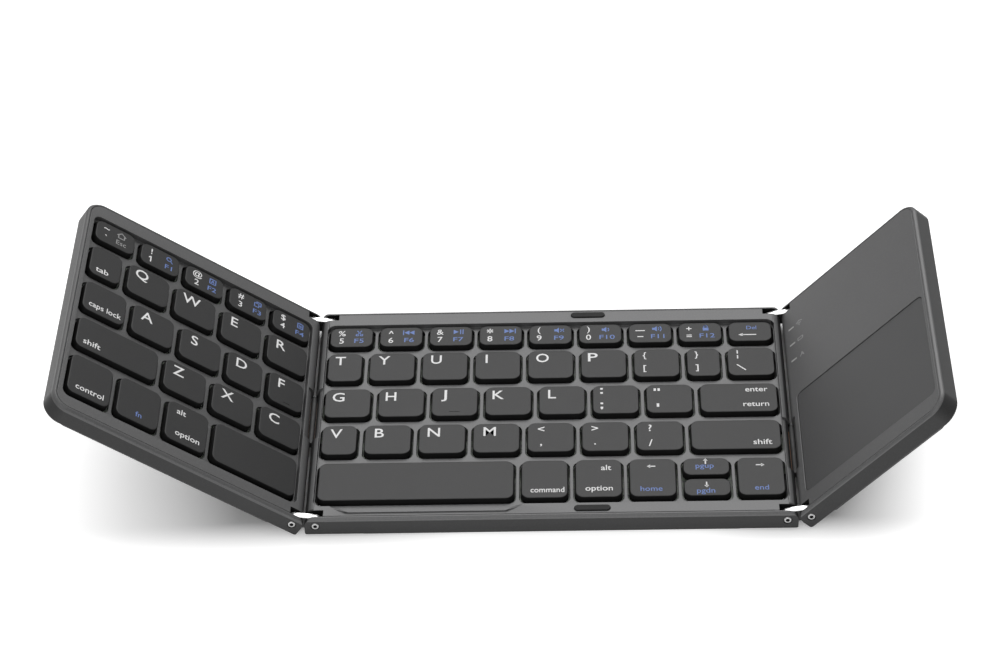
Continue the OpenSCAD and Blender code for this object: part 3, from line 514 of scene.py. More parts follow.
def islandBoxes(bm):
    boxes, seen = [], set()
    for start in bm.verts:
        if start in seen:
            continue
        stack, found = [start], []
        seen.add(start)
        while stack:
            vert = stack.pop()
            found.append(vert.co)
            for edge in vert.link_edges:
                other = edge.other_vert(vert)
                if other not in seen:
                    seen.add(other)
                    stack.append(other)
        boxes.append([(min(c[i] for c in found), max(c[i] for c in found)) for i in range(3)])
    return sorted(boxes)


def nodeBoxes(node, panel):
    bm = mergedSkin(node)
    bm.transform(place[panel].inverted())
    bmesh.ops.remove_doubles(bm, verts=bm.verts, dist=mergeDistance)
    boxes = islandBoxes(bm)
    bm.free()
    return boxes


def roundedRing(bm, box, inset, z, radius, steps):
    (x0, x1), (y0, y1) = box[0], box[1]
    x0, x1, y0, y1 = x0 + inset, x1 - inset, y0 + inset, y1 - inset
    radius = max(radius - inset, keycap["leastRadius"])
    ring = []
    corners = ((x1 - radius, y1 - radius), (x0 + radius, y1 - radius),
               (x0 + radius, y0 + radius), (x1 - radius, y0 + radius))
    for quarter, (cx, cy) in enumerate(corners):
        for i in range(steps + 1):
            turn = math.radians(90 * (quarter + i / steps))
            ring.append(bm.verts.new(
                (cx + radius * math.cos(turn), cy + radius * math.sin(turn), z)))
    return ring


def bridge(bm, lower, upper):
    for i in range(len(lower)):
        j = (i + 1) % len(lower)
        bm.faces.new((lower[i], lower[j], upper[j], upper[i]))


def addKey(bm, box):
    low, top = box[2]
    k = keycap
    radius, steps, edge = k["cornerRadius"], k["cornerSteps"], k["edgeRadius"]
    levels = [(k["footBevel"], low), (0, low + k["footBevel"]), (k["taper"], top - edge)]
    for i in range(1, k["edgeSteps"] + 1):
        turn = math.radians(90 * i / k["edgeSteps"])
        levels.append((k["taper"] + edge * (1 - math.cos(turn)),
                       top - edge * (1 - math.sin(turn))))
    levels.append((k["taper"] + edge + k["topInset"], top))
    rings = [roundedRing(bm, box, inset, z, radius, steps) for inset, z in levels]
    for lower, upper in zip(rings, rings[1:]):
        bridge(bm, lower, upper)
    bm.faces.new(rings[-1])
    mouth = roundedRing(bm, box, k["wall"], low, radius, steps)
    ceiling = roundedRing(bm, box, k["wall"], top - k["roof"], radius, steps)
    bridge(bm, mouth, rings[0])
    bridge(bm, ceiling, mouth)
    bm.faces.new(list(reversed(ceiling)))
    x, y, _ = middles(box)
    root = top - k["stemDrop"]
    stem = k["stem"] if box[1][1] - box[1][0] > k["slimDepth"] else k["slimStem"]
    bmesh.ops.create_cone(
        bm, cap_ends=True, segments=k["stemSides"], radius1=stem / 2 - k["stemTaper"],
        radius2=stem / 2, depth=root - low, matrix=Matrix.Translation((x, y, (root + low) / 2)))


keyNodes = {
    "left": ["left_number_keys", "left_q_keys", "left_a_keys", "left_z_keys", "tab_key",
             "caps_lock_key", "left_shift_key", "control_key", "fn_key", "left_option_key",
             "left_space_bar"],
    "centre": ["centre_number_keys", "centre_t_keys", "centre_g_keys", "centre_v_keys",
               "enter_key", "right_shift_key", "right_space_bar", "command_key",
               "right_option_key", "left_arrow_key", "up_arrow_key", "down_arrow_key",
               "right_arrow_key"],
}
keyBoxes = {}  # node name to the boxes of its keys, on the flat panel


def makeKeys():
    for panel, nodes in keyNodes.items():
        for node in nodes:
            keyBoxes[node] = nodeBoxes(node, panel)
            bm = bmesh.new()
            for box in keyBoxes[node]:
                addKey(bm, box)
            bmesh.ops.recalc_face_normals(bm, faces=bm.faces)
            for face in bm.faces:
                # faces steeper than sideSlope take the side walls' painted shade
                face.material_index = 0 if face.normal.z > keycap["sideSlope"] else 1
            mesh = meshFrom(bm, node + "_caps", place[panel])
            mesh.materials.append(finishes["keyPlastic"])
            mesh.materials.append(finishes["keySidePaintedShade"])
            evenShading(mesh, keycap["shadeAngle"])
            putMesh(node + "_caps", mesh, node, None, [node])


makeKeys()
print("keys made:", sum(len(b) for b in keyBoxes.values()))


# Domes and scissor guides, a piece for each key node, holding the guides under its keys

guideParts = {"domes": ("domeSilicone", "dome_silicone"),
              "scissors": ("scissorNylon", "scissor_plastic")}


def underKeys(spot, boxes):
    return any(b[0][0] < spot.x < b[0][1] and b[1][0] < spot.y < b[1][1] for b in boxes)


def makeGuides():
    total = 0
    for panel, nodes in keyNodes.items():
        for part, (finish, slot) in guideParts.items():
            whole = mergedSkin(panel + "_" + part)
            whole.transform(place[panel].inverted())
            for node in nodes:
                bm = whole.copy()
                away = [v for v in bm.verts if not underKeys(v.co, keyBoxes[node])]
                bmesh.ops.delete(bm, geom=away, context="VERTS")
                name = node + "_" + part
                mesh = meshFrom(bm, name, place[panel])
                mesh.materials.append(finishes[finish])
                piece = addObject(name, mesh)
                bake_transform(piece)
                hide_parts(panel + "_" + part)
                total += 1
            whole.free()
    return total


print("key guides made:", makeGuides())


# Legends, printed on the keys

print3d = {"lift": 0.02, "sink": 0.015, "curveSteps": 3, "overrun": 0.6,  # of strokes
           "strokes": {"whiteInk": 0.42, "greyInk": 0.34, "blueInk": 0.34}}
letterStyle = {  # cap height, ink, boldness and width
    "letter": (4.0, "whiteInk", 0.012, 1.03), "digit": (2.5, "whiteInk", 0.010, 1.0),
    "mark": (2.9, "whiteInk", 0.014, 1.0), "word": (2.25, "whiteInk", 0.010, 1.0),
    "narrowWord": (2.25, "whiteInk", 0.010, 0.82), "blue": (2.0, "blueInk", 0.006, 1.25),
    "blueWord": (2.1, "blueInk", 0.006, 1.0), "grey": (2.0, "greyInk", 0.004, 1.0),
    "brace": (2.5, "whiteInk", 0.014, 1.0), "smallBlue": (1.7, "blueInk", 0.006, 1.0),
}
ownWidths = {"P": 1.18, "O": 0.92, "T": 0.95, "U": 0.95, "H": 0.95, "J": 1.2, "tab": 1.1,
             "shift": 1.08, "caps lock": 0.92}
centreLegends = {
    "letter": [
        ("T", -68.5, 24.7), ("Y", -54.2, 24.7), ("U", -37.2, 24.7), ("I", -20.8, 24.7),
        ("O", -2.6, 24.7), ("P", 13.8, 24.7), ("G", -68.2, 7), ("H", -51.3, 7),
        ("J", -34.2, 7), ("K", -16.8, 7), ("L", 0.5, 7), ("V", -68, -10.3),
        ("B", -54.3, -10.3), ("N", -37, -10.3), ("M", -19.3, -10.3)],
    "brace": [
        ("{", 30.6, 25), ("[", 30.6, 18.7), ("}", 47.5, 25), ("]", 47.5, 18.7)],
    "mark": [
        ("<", -3, -9.5), (",", -3, -17), (">", 14, -9.5), (".", 14, -16.8), ("?", 31.5, -9.7),
        ("/", 31.5, -16.6)],
    "digit": [
        ("%", -68.7, 38.4), ("5", -68.7, 34.7), ("^", -52.5, 38.7), ("6", -52.5, 34.7),
        ("&", -36.3, 38.4), ("7", -36.3, 34.7), ("8", -19.9, 34.7),
        ("(", -3.7, 38.4), ("9", -3.7, 34.7), (")", 12.5, 38.4), ("0", 12.5, 34.7),
        ("+", 45.5, 38.2), ("=", 45.5, 34.6)],
    "blue": [
        ("F5", -63, 34.7), ("F6", -46.5, 34.7), ("F7", -30.3, 34.7), ("F8", -13.5, 34.7),
        ("F9", 2.8, 34.7), ("F10", 18.6, 34.7), ("F11", 35.2, 34.7), ("F12", 51.4, 34.7)],
    "word": [
        ("enter", 66, 7.8), ("return", 65.6, 0.8), ("shift", 66.7, -16.8),
        ("alt", 17.3, -27.7), ("option", 15, -37.3)],
    "narrowWord": [("command", -1, -37.3)],
    "blueWord": [
        ("home", 31.2, -37.4), ("pgup", 48, -28.1), ("pgdn", 48, -38.9), ("end", 65.3, -37.5)],
    "smallBlue": [("Del", 66, 38.3)],
}
leftLegends = {  # x from the wing's hinge side, outwards negative
    "letter": [
        ("Q", -66.7, 24.7), ("W", -48.5, 24.7), ("E", -32.5, 24.7), ("R", -15, 24.7),
        ("A", -62.7, 7), ("S", -45.5, 7), ("D", -28.2, 7), ("F", -13.4, 7),
        ("Z", -49.4, -10.2), ("X", -31.8, -10.2), ("C", -14.7, -10.2)],
    "digit": [
        ("~", -81.2, 38.4), ("`", -81.2, 35.2), ("!", -64.7, 38.4), ("@", -47.7, 38.4),
        ("2", -47.7, 34.7), ("#", -31.3, 38.4), ("3", -31.3, 34.7), ("$", -15.2, 38.4),
        ("4", -15.2, 34.7)],
    "blue": [("F1", -58.2, 34.7), ("F2", -42, 34.7), ("F3", -25, 34.7), ("F4", -8.7, 34.7)],
    "grey": [("Esc", -75.6, 34.7)],
    "word": [
        ("tab", -80.3, 17.8), ("caps lock", -77, 0.5), ("shift", -79.3, -16.7),
        ("control", -77.3, -37.3), ("alt", -46.5, -27.5), ("option", -43.5, -37.2)],
    "blueWord": [("fn", -60.5, -37.2)],
}
# Small signs, as strokes in a box two units wide: line, closed loop, ring or filled shape
speaker = ("fill", [(-0.9, -0.3), (-0.9, 0.3), (-0.5, 0.3), (0, 0.75), (0, -0.75), (-0.5, -0.3)])
upperDot = ("fill", rectangle(-0.42, 0.6, 0.42, 1.4))
signs = {
    "search": [("ring", (-0.15, 0.15), 0.6), ("line", [(0.3, -0.3), (0.85, -0.85)])],
    "select": [("loop", rectangle(-0.8, -0.8, 0.8, 0.8)),
               ("line", [(-0.35, -0.4), (0, 0.45), (0.35, -0.4)]),
               ("line", [(-0.2, -0.1), (0.2, -0.1)])],
    "copy": [("loop", rectangle(-0.85, -0.85, 0.3, 0.35)),
             ("line", [(-0.3, 0.35), (-0.3, 0.85), (0.85, 0.85), (0.85, -0.3), (0.3, -0.3)])],
    "paste": [("loop", rectangle(-0.7, -0.9, 0.7, 0.7)),
              ("fill", rectangle(-0.35, 0.5, 0.35, 0.95)),
              ("line", [(-0.35, 0), (0.35, 0)]), ("line", [(-0.35, -0.4), (0.35, -0.4)])],
    "cut": [("ring", (-0.5, -0.6), 0.28), ("ring", (0.5, -0.6), 0.28),
            ("line", [(-0.35, -0.35), (0.5, 0.9)]), ("line", [(0.35, -0.35), (-0.5, 0.9)])],
    "back": [("line", [(-1.1, -0.6), (-1.1, 0.6)]), ("fill", [(-0.95, 0), (0, 0.6), (0, -0.6)]),
             ("fill", [(0, 0), (0.95, 0.6), (0.95, -0.6)])],
    "play": [("fill", [(-0.9, 0.6), (0.05, 0), (-0.9, -0.6)]),
             ("line", [(0.4, -0.6), (0.4, 0.6)]), ("line", [(0.85, -0.6), (0.85, 0.6)])],
    "next": [("line", [(1.1, -0.6), (1.1, 0.6)]), ("fill", [(0.95, 0), (0, -0.6), (0, 0.6)]),
             ("fill", [(0, 0), (-0.95, -0.6), (-0.95, 0.6)])],
    "mute": [speaker, ("line", [(0.3, -0.35), (0.95, 0.35)]),
             ("line", [(0.3, 0.35), (0.95, -0.35)])],
    "quiet": [speaker, ("line", [(0.35, -0.4), (0.5, 0), (0.35, 0.4)])],
    "loud": [speaker, ("line", [(0.3, -0.35), (0.42, 0), (0.3, 0.35)]),
             ("line", [(0.65, -0.65), (0.9, 0), (0.65, 0.65)])],
    "lock": [("fill", rectangle(-0.65, -0.85, 0.65, 0.1)),
             ("line", [(-0.4, 0.1), (-0.4, 0.6), (-0.15, 0.85), (0.15, 0.85), (0.4, 0.6),
                       (0.4, 0.1)])],
    "house": [("line", [(-1, 0.05), (0, 0.9), (1, 0.05)]),
              ("line", [(-0.7, 0.1), (-0.7, -0.8), (0.7, -0.8), (0.7, 0.1)])],
    "arrow": [("line", [(0.95, 0), (-0.5, 0)]), ("fill", [(-1, 0), (-0.2, 0.6), (-0.2, -0.6)])],
    "longArrow": [("line", [(0.97, 0), (-0.6, 0)]),
                  ("fill", [(-1, 0), (-0.5, 0.24), (-0.5, -0.24)])],
    "one": [("line", [(-0.5, 0.45), (0, 0.92), (0, -0.95)])],
    "star": [("line", [(0, 0.9), (0, -0.9)]), ("line", [(-0.8, 0.46), (0.8, -0.46)]),
             ("line", [(-0.8, -0.46), (0.8, 0.46)])],
    "dash": [("line", [(-0.95, 0), (0.95, 0)])],
    "brokenBar": [("line", [(0, 0.95), (0, 0.25)]), ("line", [(0, -0.25), (0, -0.95)])],
    "backslash": [("line", [(-1, 1), (1, -1)])],
    "colon": [upperDot, ("fill", rectangle(-0.42, -1.4, 0.42, -0.6))],
    "semicolon": [upperDot, ("fill", [(-0.42, -1.4), (-0.1, -2), (0.42, -1.4), (0.42, -0.6),
                                      (-0.42, -0.6)])],
    "doubleQuote": [("fill", rectangle(-1, -0.6, -0.25, 0.6)),
                    ("fill", rectangle(0.25, -0.6, 1, 0.6))],
    "quote": [("fill", rectangle(-0.4, -0.8, 0.4, 0.8))],
    "capsMark": [("line", [(-0.7, -0.8), (0, 0.8), (0.7, -0.8)]),
                 ("line", [(-0.4, -0.2), (0.4, -0.2)])],
    "waves": [("fill", rectangle(-0.15, -0.8, 0.15, -0.5)),
              ("line", [(-0.45, -0.25), (0, 0), (0.45, -0.25)]),
              ("line", [(-0.85, 0.2), (0, 0.65), (0.85, 0.2)])],
    "cell": [("loop", rectangle(-0.9, -0.45, 0.7, 0.45)),
             ("fill", rectangle(0.75, -0.2, 0.95, 0.2))],
}
centreSigns = [  # sign, x, y, half width, turn, ink
    ("cut", -63, 38.4, 1.4, 0, "blueInk"), ("back", -46.5, 38.4, 1.75, 0, "blueInk"),
    ("play", -30.3, 38.4, 1.75, 0, "blueInk"), ("next", -13.5, 38.4, 1.75, 0, "blueInk"),
    ("mute", 2.8, 38.4, 1.7, 0, "blueInk"), ("quiet", 18.4, 38.4, 1.7, 0, "blueInk"),
    ("loud", 35, 38.4, 1.7, 0, "blueInk"), ("lock", 51, 38.4, 1.45, 0, "blueInk"),
    ("longArrow", 64.5, 34.8, 2.9, 0, "whiteInk"), ("arrow", 31.3, -27.4, 1.3, 0, "whiteInk"),
    ("arrow", 48.3, -25.4, 1.2, -90, "whiteInk"), ("arrow", 48.3, -36.0, 1.2, 90, "whiteInk"),
    ("arrow", 65.3, -27.4, 1.3, 180, "whiteInk"), ("star", -19.9, 38.6, 1.1, 0, "whiteInk"),
    ("dash", 29.5, 37.6, 1.5, 0, "whiteInk"), ("dash", 29.5, 34.6, 0.9, 0, "whiteInk"),
    ("brokenBar", 60.8, 25, 2.0, 0, "whiteInk"), ("backslash", 61.8, 18.7, 1.3, 0, "whiteInk"),
    ("colon", 16.4, 8.2, 1, 0, "whiteInk"), ("semicolon", 16.4, 1.2, 1, 0, "whiteInk"),
    ("doubleQuote", 34.1, 8.4, 1, 0, "whiteInk"), ("quote", 34.3, 1.0, 1, 0, "whiteInk"),
]
leftSigns = [
    ("house", -75.8, 38.2, 1.5, 0, "greyInk"), ("search", -58.2, 38.4, 1.35, 0, "blueInk"),
    ("select", -42, 38.4, 1.35, 0, "blueInk"), ("copy", -25, 38.4, 1.4, 0, "blueInk"),
    ("paste", -8.7, 38.4, 1.4, 0, "blueInk"), ("one", -64.7, 34.7, 1.3, 0, "whiteInk"),
]
homingBars = {"left": [(-11.0, -0.8, 2.5)], "centre": [(-30.8, -0.4, 3.5)],  # x, y, length
              "width": 0.45, "rise": 0.09, "sink": 0.05}


def capHeight():
    curve = bpy.data.curves.new("ruler", "FONT")
    curve.body = "H"
    holder = addObject("ruler", curve)
    bpy.context.view_layer.update()
    height = holder.dimensions.y
    bpy.data.objects.remove(holder)
    return height


def textMesh(text, height, offset):
    curve = bpy.data.curves.new("text", "FONT")
    curve.body = text
    curve.size = height / capUnit
    curve.offset = offset * height
    curve.resolution_u = print3d["curveSteps"]
    curve.extrude = (print3d["lift"] + print3d["sink"]) / 2
    holder = addObject("text", curve)
    bpy.context.view_layer.update()
    graph = bpy.context.evaluated_depsgraph_get()
    mesh = bpy.data.meshes.new_from_object(holder.evaluated_get(graph))
    bpy.data.objects.remove(holder)
    return mesh


def addText(bm, text, x, y, z, height, offset, wide):
    mesh = textMesh(text, height, offset)
    mesh.transform(Matrix.Diagonal((wide, 1, 1, 1)))
    xs, ys = [v.co.x for v in mesh.vertices], [v.co.y for v in mesh.vertices]
    mesh.transform(Matrix.Translation(
        (x - (min(xs) + max(xs)) / 2, y - (min(ys) + max(ys)) / 2,
         z + (print3d["lift"] - print3d["sink"]) / 2)))
    piece = bmesh.new()
    piece.from_mesh(mesh)
    bmesh.ops.remove_doubles(piece, verts=piece.verts, dist=1e-4)
    piece.to_mesh(mesh)
    piece.free()
    bm.from_mesh(mesh)
    bpy.data.meshes.remove(mesh)


def addPlate(bm, points, low, high):
    lower = [bm.verts.new((x, y, low)) for x, y in points]
    upper = [bm.verts.new((x, y, high)) for x, y in points]
    bridge(bm, lower, upper)
    bm.faces.new(upper)
    bm.faces.new(list(reversed(lower)))


def addStroke(bm, start, end, width, low, high):
    along = (Vector(end) - Vector(start)).normalized() * width / 2
    side = Vector((-along.y, along.x))
    over = along * print3d["overrun"]
    a, b = Vector(start) - over, Vector(end) + over
    addPlate(bm, [a - side, b - side, b + side, a + side], low, high)


def addRing(bm, middle, radius, width, low, high, sides=16):
    outer, inner = radius + width / 2, radius - width / 2
    loops = []
    for reach, z in ((outer, low), (outer, high), (inner, high), (inner, low)):
        loops.append([bm.verts.new((middle[0] + reach * math.cos(math.tau * i / sides),
                                    middle[1] + reach * math.sin(math.tau * i / sides), z))
                      for i in range(sides)])
    for lower, upper in zip(loops, loops[1:] + loops[:1]):
        bridge(bm, lower, upper)


def addSign(bm, name, x, y, z, size, turn, width):
    low, high = z - print3d["sink"], z + print3d["lift"]
    cos, sin = math.cos(math.radians(turn)), math.sin(math.radians(turn))

    def spot(p):
        return (x + size * (p[0] * cos - p[1] * sin), y + size * (p[0] * sin + p[1] * cos))

    for kind, points, *radius in signs[name]:
        if kind == "ring":
            addRing(bm, spot(points), radius[0] * size, width, low, high)
        elif kind == "fill":
            addPlate(bm, [spot(p) for p in points], low, high)
        else:
            ends = points[1:] + (points[:1] if kind == "loop" else [])
            for start, end in zip(points, ends):
                addStroke(bm, spot(start), spot(end), width, low, high)


def keyUnder(panel, x, y):
    for node in keyNodes[panel]:
        for box in keyBoxes[node]:
            if box[0][0] < x < box[0][1] and box[1][0] < y < box[1][1]:
                return node, box[2][1]
    print("no key under", panel, round(x, 1), round(y, 1))
    return None, 0


def makeLegends():
    inks = {}  # (panel, node, ink) to its mesh in the making

    def ink(panel, node, finish):
        return inks.setdefault((panel, node, finish), bmesh.new())

    sets = (("centre", centreLegends, centreSigns, 0),
            ("left", leftLegends, leftSigns, hingeSide["left"]))
    for panel, words, marks, shift in sets:
        for style, entries in words.items():
            height, finish, offset, wide = letterStyle[style]
            for text, x, y in entries:
                node, top = keyUnder(panel, x + shift, y)
                if node:
                    addText(ink(panel, node, finish), text, x + shift, y, top, height, offset,
                            wide * ownWidths.get(text, 1))
        for name, x, y, size, turn, finish in marks:
            node, top = keyUnder(panel, x + shift, y)
            if node:
                addSign(ink(panel, node, finish), name, x + shift, y, top, size, turn,
                        print3d["strokes"][finish])
        for x, y, length in homingBars[panel]:
            node, top = keyUnder(panel, x + shift, y)
            addX, addY = length / 2, homingBars["width"] / 2
            bar = bmesh.new()
            addPlate(bar, rectangle(x + shift - addX, y - addY, x + shift + addX, y + addY),
                     top - homingBars["sink"], top + homingBars["rise"])
            mesh = meshFrom(bar, node + "_bar", place[panel])
            putMesh(node + "_bar", mesh, node, "keyPlastic")
    for (panel, node, finish), bm in inks.items():
        name = node + "_print_" + finish.replace("Ink", "")
        putMesh(name, meshFrom(bm, name, place[panel]), node, finish)
    return len(inks)


capUnit = capHeight()
print("legend pieces:", makeLegends())


# Lamp signs on the right wing's cover

lampSigns = {"signs": [("waves", 35.2, 1.5), ("cell", 27.5, 1.3), ("capsMark", 19.8, 1.1)],
             "in": 9.2, "width": 0.3, "drop": 0.015}


def makeLampSigns():
    bm = bmesh.new()
    for name, y, size in lampSigns["signs"]:
        addSign(bm, name, hingeSide["right"] + lampSigns["in"], y,
                panelTop - lampSigns["drop"], size, 0, lampSigns["width"])
    mesh = meshFrom(bm, "lamp_signs", place["right"])
    putMesh("lamp_signs", mesh, "right_wing", "greyInk")


makeLampSigns()


# Screws and hinge pins, by geometry nodes

turning = {"shadeAngle": 35, "headSides": 32, "shaftSides": 24, "threadSides": 16,
           "socketSides": 6}


class NodeTree:
    def __init__(self, name, inputs):
        self.tree = bpy.data.node_groups.new(name, "GeometryNodeTree")
        face = self.tree.interface
        face.new_socket("Geometry", in_out="INPUT", socket_type="NodeSocketGeometry")
        for label, kind, value in inputs:
            socket = face.new_socket(label, in_out="INPUT", socket_type=kind)
            if value is not None:
                socket.default_value = value
        face.new_socket("Geometry", in_out="OUTPUT", socket_type="NodeSocketGeometry")
        self.inputs = self.tree.nodes.new("NodeGroupInput").outputs
        self.end = self.tree.nodes.new("NodeGroupOutput")

    def add(self, kind, ties=None, **values):
        node = newNode(self.tree, kind, **values)
        for key, value in (ties or {}).items():
            socket = node.inputs[key]
            for one in value if isinstance(value, list) else [value]:
                if isinstance(one, bpy.types.NodeSocket):
                    self.tree.links.new(one, socket)
                else:
                    socket.default_value = one
        return node

    def math(self, operation, a, b):
        return self.add("ShaderNodeMath", {0: a, 1: b}, operation=operation).outputs[0]

    def vector(self, x, y, z):
        return self.add("ShaderNodeCombineXYZ", {0: x, 1: y, 2: z}).outputs[0]

    def moved(self, geometry, offset):
        return self.add("GeometryNodeTransform",
                        {"Geometry": geometry, "Translation": offset}).outputs[0]

    def rod(self, sides, radius, depth, base):  # cylinder standing on z = base
        mesh = self.add("GeometryNodeMeshCylinder",
                        {"Vertices": sides, "Radius": radius, "Depth": depth})
        lift = self.math("ADD", self.math("MULTIPLY", depth, 0.5), base)
        return self.moved(mesh.outputs["Mesh"], self.vector(0.0, 0.0, lift))

    def cone(self, sides, low, high, depth, base):
        mesh = self.add("GeometryNodeMeshCone", {
            "Vertices": sides, "Radius Bottom": low, "Radius Top": high, "Depth": depth})
        return self.moved(mesh.outputs["Mesh"], self.vector(0.0, 0.0, base))

    def join(self, *parts):
        return self.add("GeometryNodeJoinGeometry", {"Geometry": list(reversed(parts))}).outputs[0]

    def cut(self, body, *tools):
        return self.add("GeometryNodeMeshBoolean", {"Mesh 1": body, "Mesh 2": list(tools)},
                        operation="DIFFERENCE", solver="EXACT").outputs["Mesh"]

    def painted(self, geometry, material):
        return self.add("GeometryNodeSetMaterial",
                        {"Geometry": geometry, "Material": material}).outputs[0]

    def finishOnPoints(self, part, material=None, facing=None):
        ties = {"Points": self.inputs["Geometry"], "Instance": part}
        if facing:
            ties["Rotation"] = facing
        placed = self.add("GeometryNodeInstanceOnPoints", ties).outputs[0]
        real = self.add("GeometryNodeRealizeInstances", {"Geometry": placed}).outputs[0]
        if material:
            real = self.painted(real, material)
        self.tree.links.new(real, self.end.inputs[0])


def runTree(tree, name, points, values, matrix, facing=None):
    mesh = bpy.data.meshes.new(name)
    mesh.from_pydata(points, [], [])
    if facing:
        attribute = mesh.attributes.new("facing", "FLOAT_VECTOR", "POINT")
        attribute.data.foreach_set("vector", [c for f in facing for c in f])
    work = addObject(name, mesh)
    modifier = work.modifiers.new("build", "NODES")
    modifier.node_group = tree.tree
    for item in tree.tree.interface.items_tree:
        if item.in_out == "INPUT" and item.name in values:
            modifier[item.identifier] = values[item.name]
    mesh = bakeModifiers(work, matrix)
    evenShading(mesh, turning["shadeAngle"])
    return mesh


screwSizes = {
    "Head Diameter": 2.8, "Head Height": 0.8, "Shank Diameter": 1.45, "Length": 4.0,
    "Recess Length": 1.75, "Recess Width": 0.42, "Recess Depth": 0.42, "Thread Pitch": 0.4}


def screwTree():
    made = NodeTree("caseScrews", [(k, "NodeSocketFloat", v) for k, v in screwSizes.items()]
                    + [("Finish", "NodeSocketMaterial", None)])
    ins = made.inputs
    half = made.math("MULTIPLY", ins["Head Diameter"], 0.5)
    bars = []
    for flip in (False, True):
        size = (ins["Recess Width"], ins["Recess Length"]) if flip else (
            ins["Recess Length"], ins["Recess Width"])
        bars.append(made.add("GeometryNodeMeshCube", {
            "Size": made.vector(size[0], size[1], made.math("MULTIPLY", ins["Recess Depth"], 2.0))
        }).outputs["Mesh"])
    core = made.rod(turning["headSides"], half, ins["Head Height"], 0.0)
    head = made.cut(made.cut(core, bars[0]), bars[1])
    thread = made.cone(turning["threadSides"], made.math("MULTIPLY", ins["Shank Diameter"], 0.5),
                       made.math("MULTIPLY", ins["Shank Diameter"], 0.38),  # root of the thread
                       ins["Thread Pitch"], 0.0)
    turns = made.math("DIVIDE", made.math("SUBTRACT", ins["Length"], ins["Head Height"]),
                      ins["Thread Pitch"])
    line = made.add("GeometryNodeMeshLine", {
        "Count": turns, "Start Location": made.vector(0.0, 0.0, ins["Head Height"]),
        "Offset": made.vector(0.0, 0.0, ins["Thread Pitch"])})
    shank = made.add("GeometryNodeInstanceOnPoints",
                     {"Points": line.outputs[0], "Instance": thread}).outputs[0]
    made.finishOnPoints(made.join(head, shank), ins["Finish"])
    return made


def makeScrews():
    tree = screwTree()
    total = 0
    for panel, body in bodyOf.items():
        node = panel + "_screws"
        boxes = nodeBoxes(node, panel)
        total += len(boxes)
        points = [(*middles(box)[:2], box[2][0]) for box in boxes]
        mesh = runTree(tree, node + "_threaded", points,
                       {**screwSizes, "Finish": finishes["screwSteel"]}, place[panel])
        putMesh(node + "_threaded", mesh, body, None, [node])
    return total


pinSizes = {"Head Diameter": 2.3, "Head Height": 0.4, "Shaft Diameter": 1.5,
            "Socket Diameter": 1.4, "Socket Depth": 0.3, "Edge": 0.12}


def pinTree():
    made = NodeTree("hingePins", [(k, "NodeSocketFloat", v) for k, v in pinSizes.items()]
                    + [("Length", "NodeSocketFloat", 6.0), ("Finish", "NodeSocketMaterial", None),
                       ("Shade", "NodeSocketMaterial", None)])
    ins = made.inputs
    half = made.math("MULTIPLY", ins["Head Diameter"], 0.5)
    low = made.math("MULTIPLY", ins["Head Height"], -1.0)
    body = made.math("SUBTRACT", ins["Head Height"], ins["Edge"])
    head = made.rod(turning["headSides"], half, body, low)
    crown = made.cone(turning["headSides"], half, made.math("SUBTRACT", half, ins["Edge"]),
                      ins["Edge"], made.math("MULTIPLY", ins["Edge"], -1.0))
    socket = made.rod(turning["socketSides"], made.math("MULTIPLY", ins["Socket Diameter"], 0.5),
                      1.0, made.math("MULTIPLY", ins["Socket Depth"], -1.0))
    steel = made.join(made.cut(head, socket), made.cut(crown, socket))
    shaft = made.rod(turning["shaftSides"], made.math("MULTIPLY", ins["Shaft Diameter"], 0.5),
                     ins["Length"], made.math("MULTIPLY", ins["Length"], -1.0))
    shaft = made.moved(shaft, made.vector(0.0, 0.0, made.math(
        "MULTIPLY", ins["Head Height"], -0.9)))
    steel = made.painted(made.join(steel, shaft), ins["Finish"])
    floor = made.painted(  # a thin dark plate in the socket, as painted shade
        made.rod(turning["socketSides"], made.math("MULTIPLY", ins["Socket Diameter"], 0.49),
                 0.04, made.math("MULTIPLY", ins["Socket Depth"], -1.0)), ins["Shade"])
    facing = made.add("GeometryNodeInputNamedAttribute", {"Name": "facing"},
                      data_type="FLOAT_VECTOR").outputs["Attribute"]
    turn = made.add("FunctionNodeAlignRotationToVector", {"Vector": facing}, axis="Z").outputs[0]
    made.finishOnPoints(made.join(steel, floor), None, turn)
    return made


def makePins():
    tree = pinTree()
    total = 0
    for panel, body in bodyOf.items():
        node = panel + "_hinge_pins"
        boxes = nodeBoxes(node, panel)
        total += len(boxes)
        points, facing = [], []
        for box in boxes:
            out = 1 if box[1][1] > 0 else -1
            x, _, z = middles(box)
            points.append((x, box[1][1] if out > 0 else box[1][0], z))
            facing.append((0, out, 0))
        length = boxes[0][1][1] - boxes[0][1][0] - pinSizes["Head Height"]
        values = {**pinSizes, "Length": length, "Finish": finishes["pinSteel"],
                  "Shade": finishes["paintedRecessShade"]}
        mesh = runTree(tree, node + "_turned", points, values, place[panel], facing)
        putMesh(node + "_turned", mesh, body, None, [node])
    return total


print("screws made:", makeScrews())
print("pins made:", makePins())


# Flex cables, one strip from the centre to the links and one from the links to the wing

flexCable = {"width": 18.0, "thickness": 0.2, "drop": 1.45, "reach": 1.1, "bend": 1.7,
             "steps": 14}


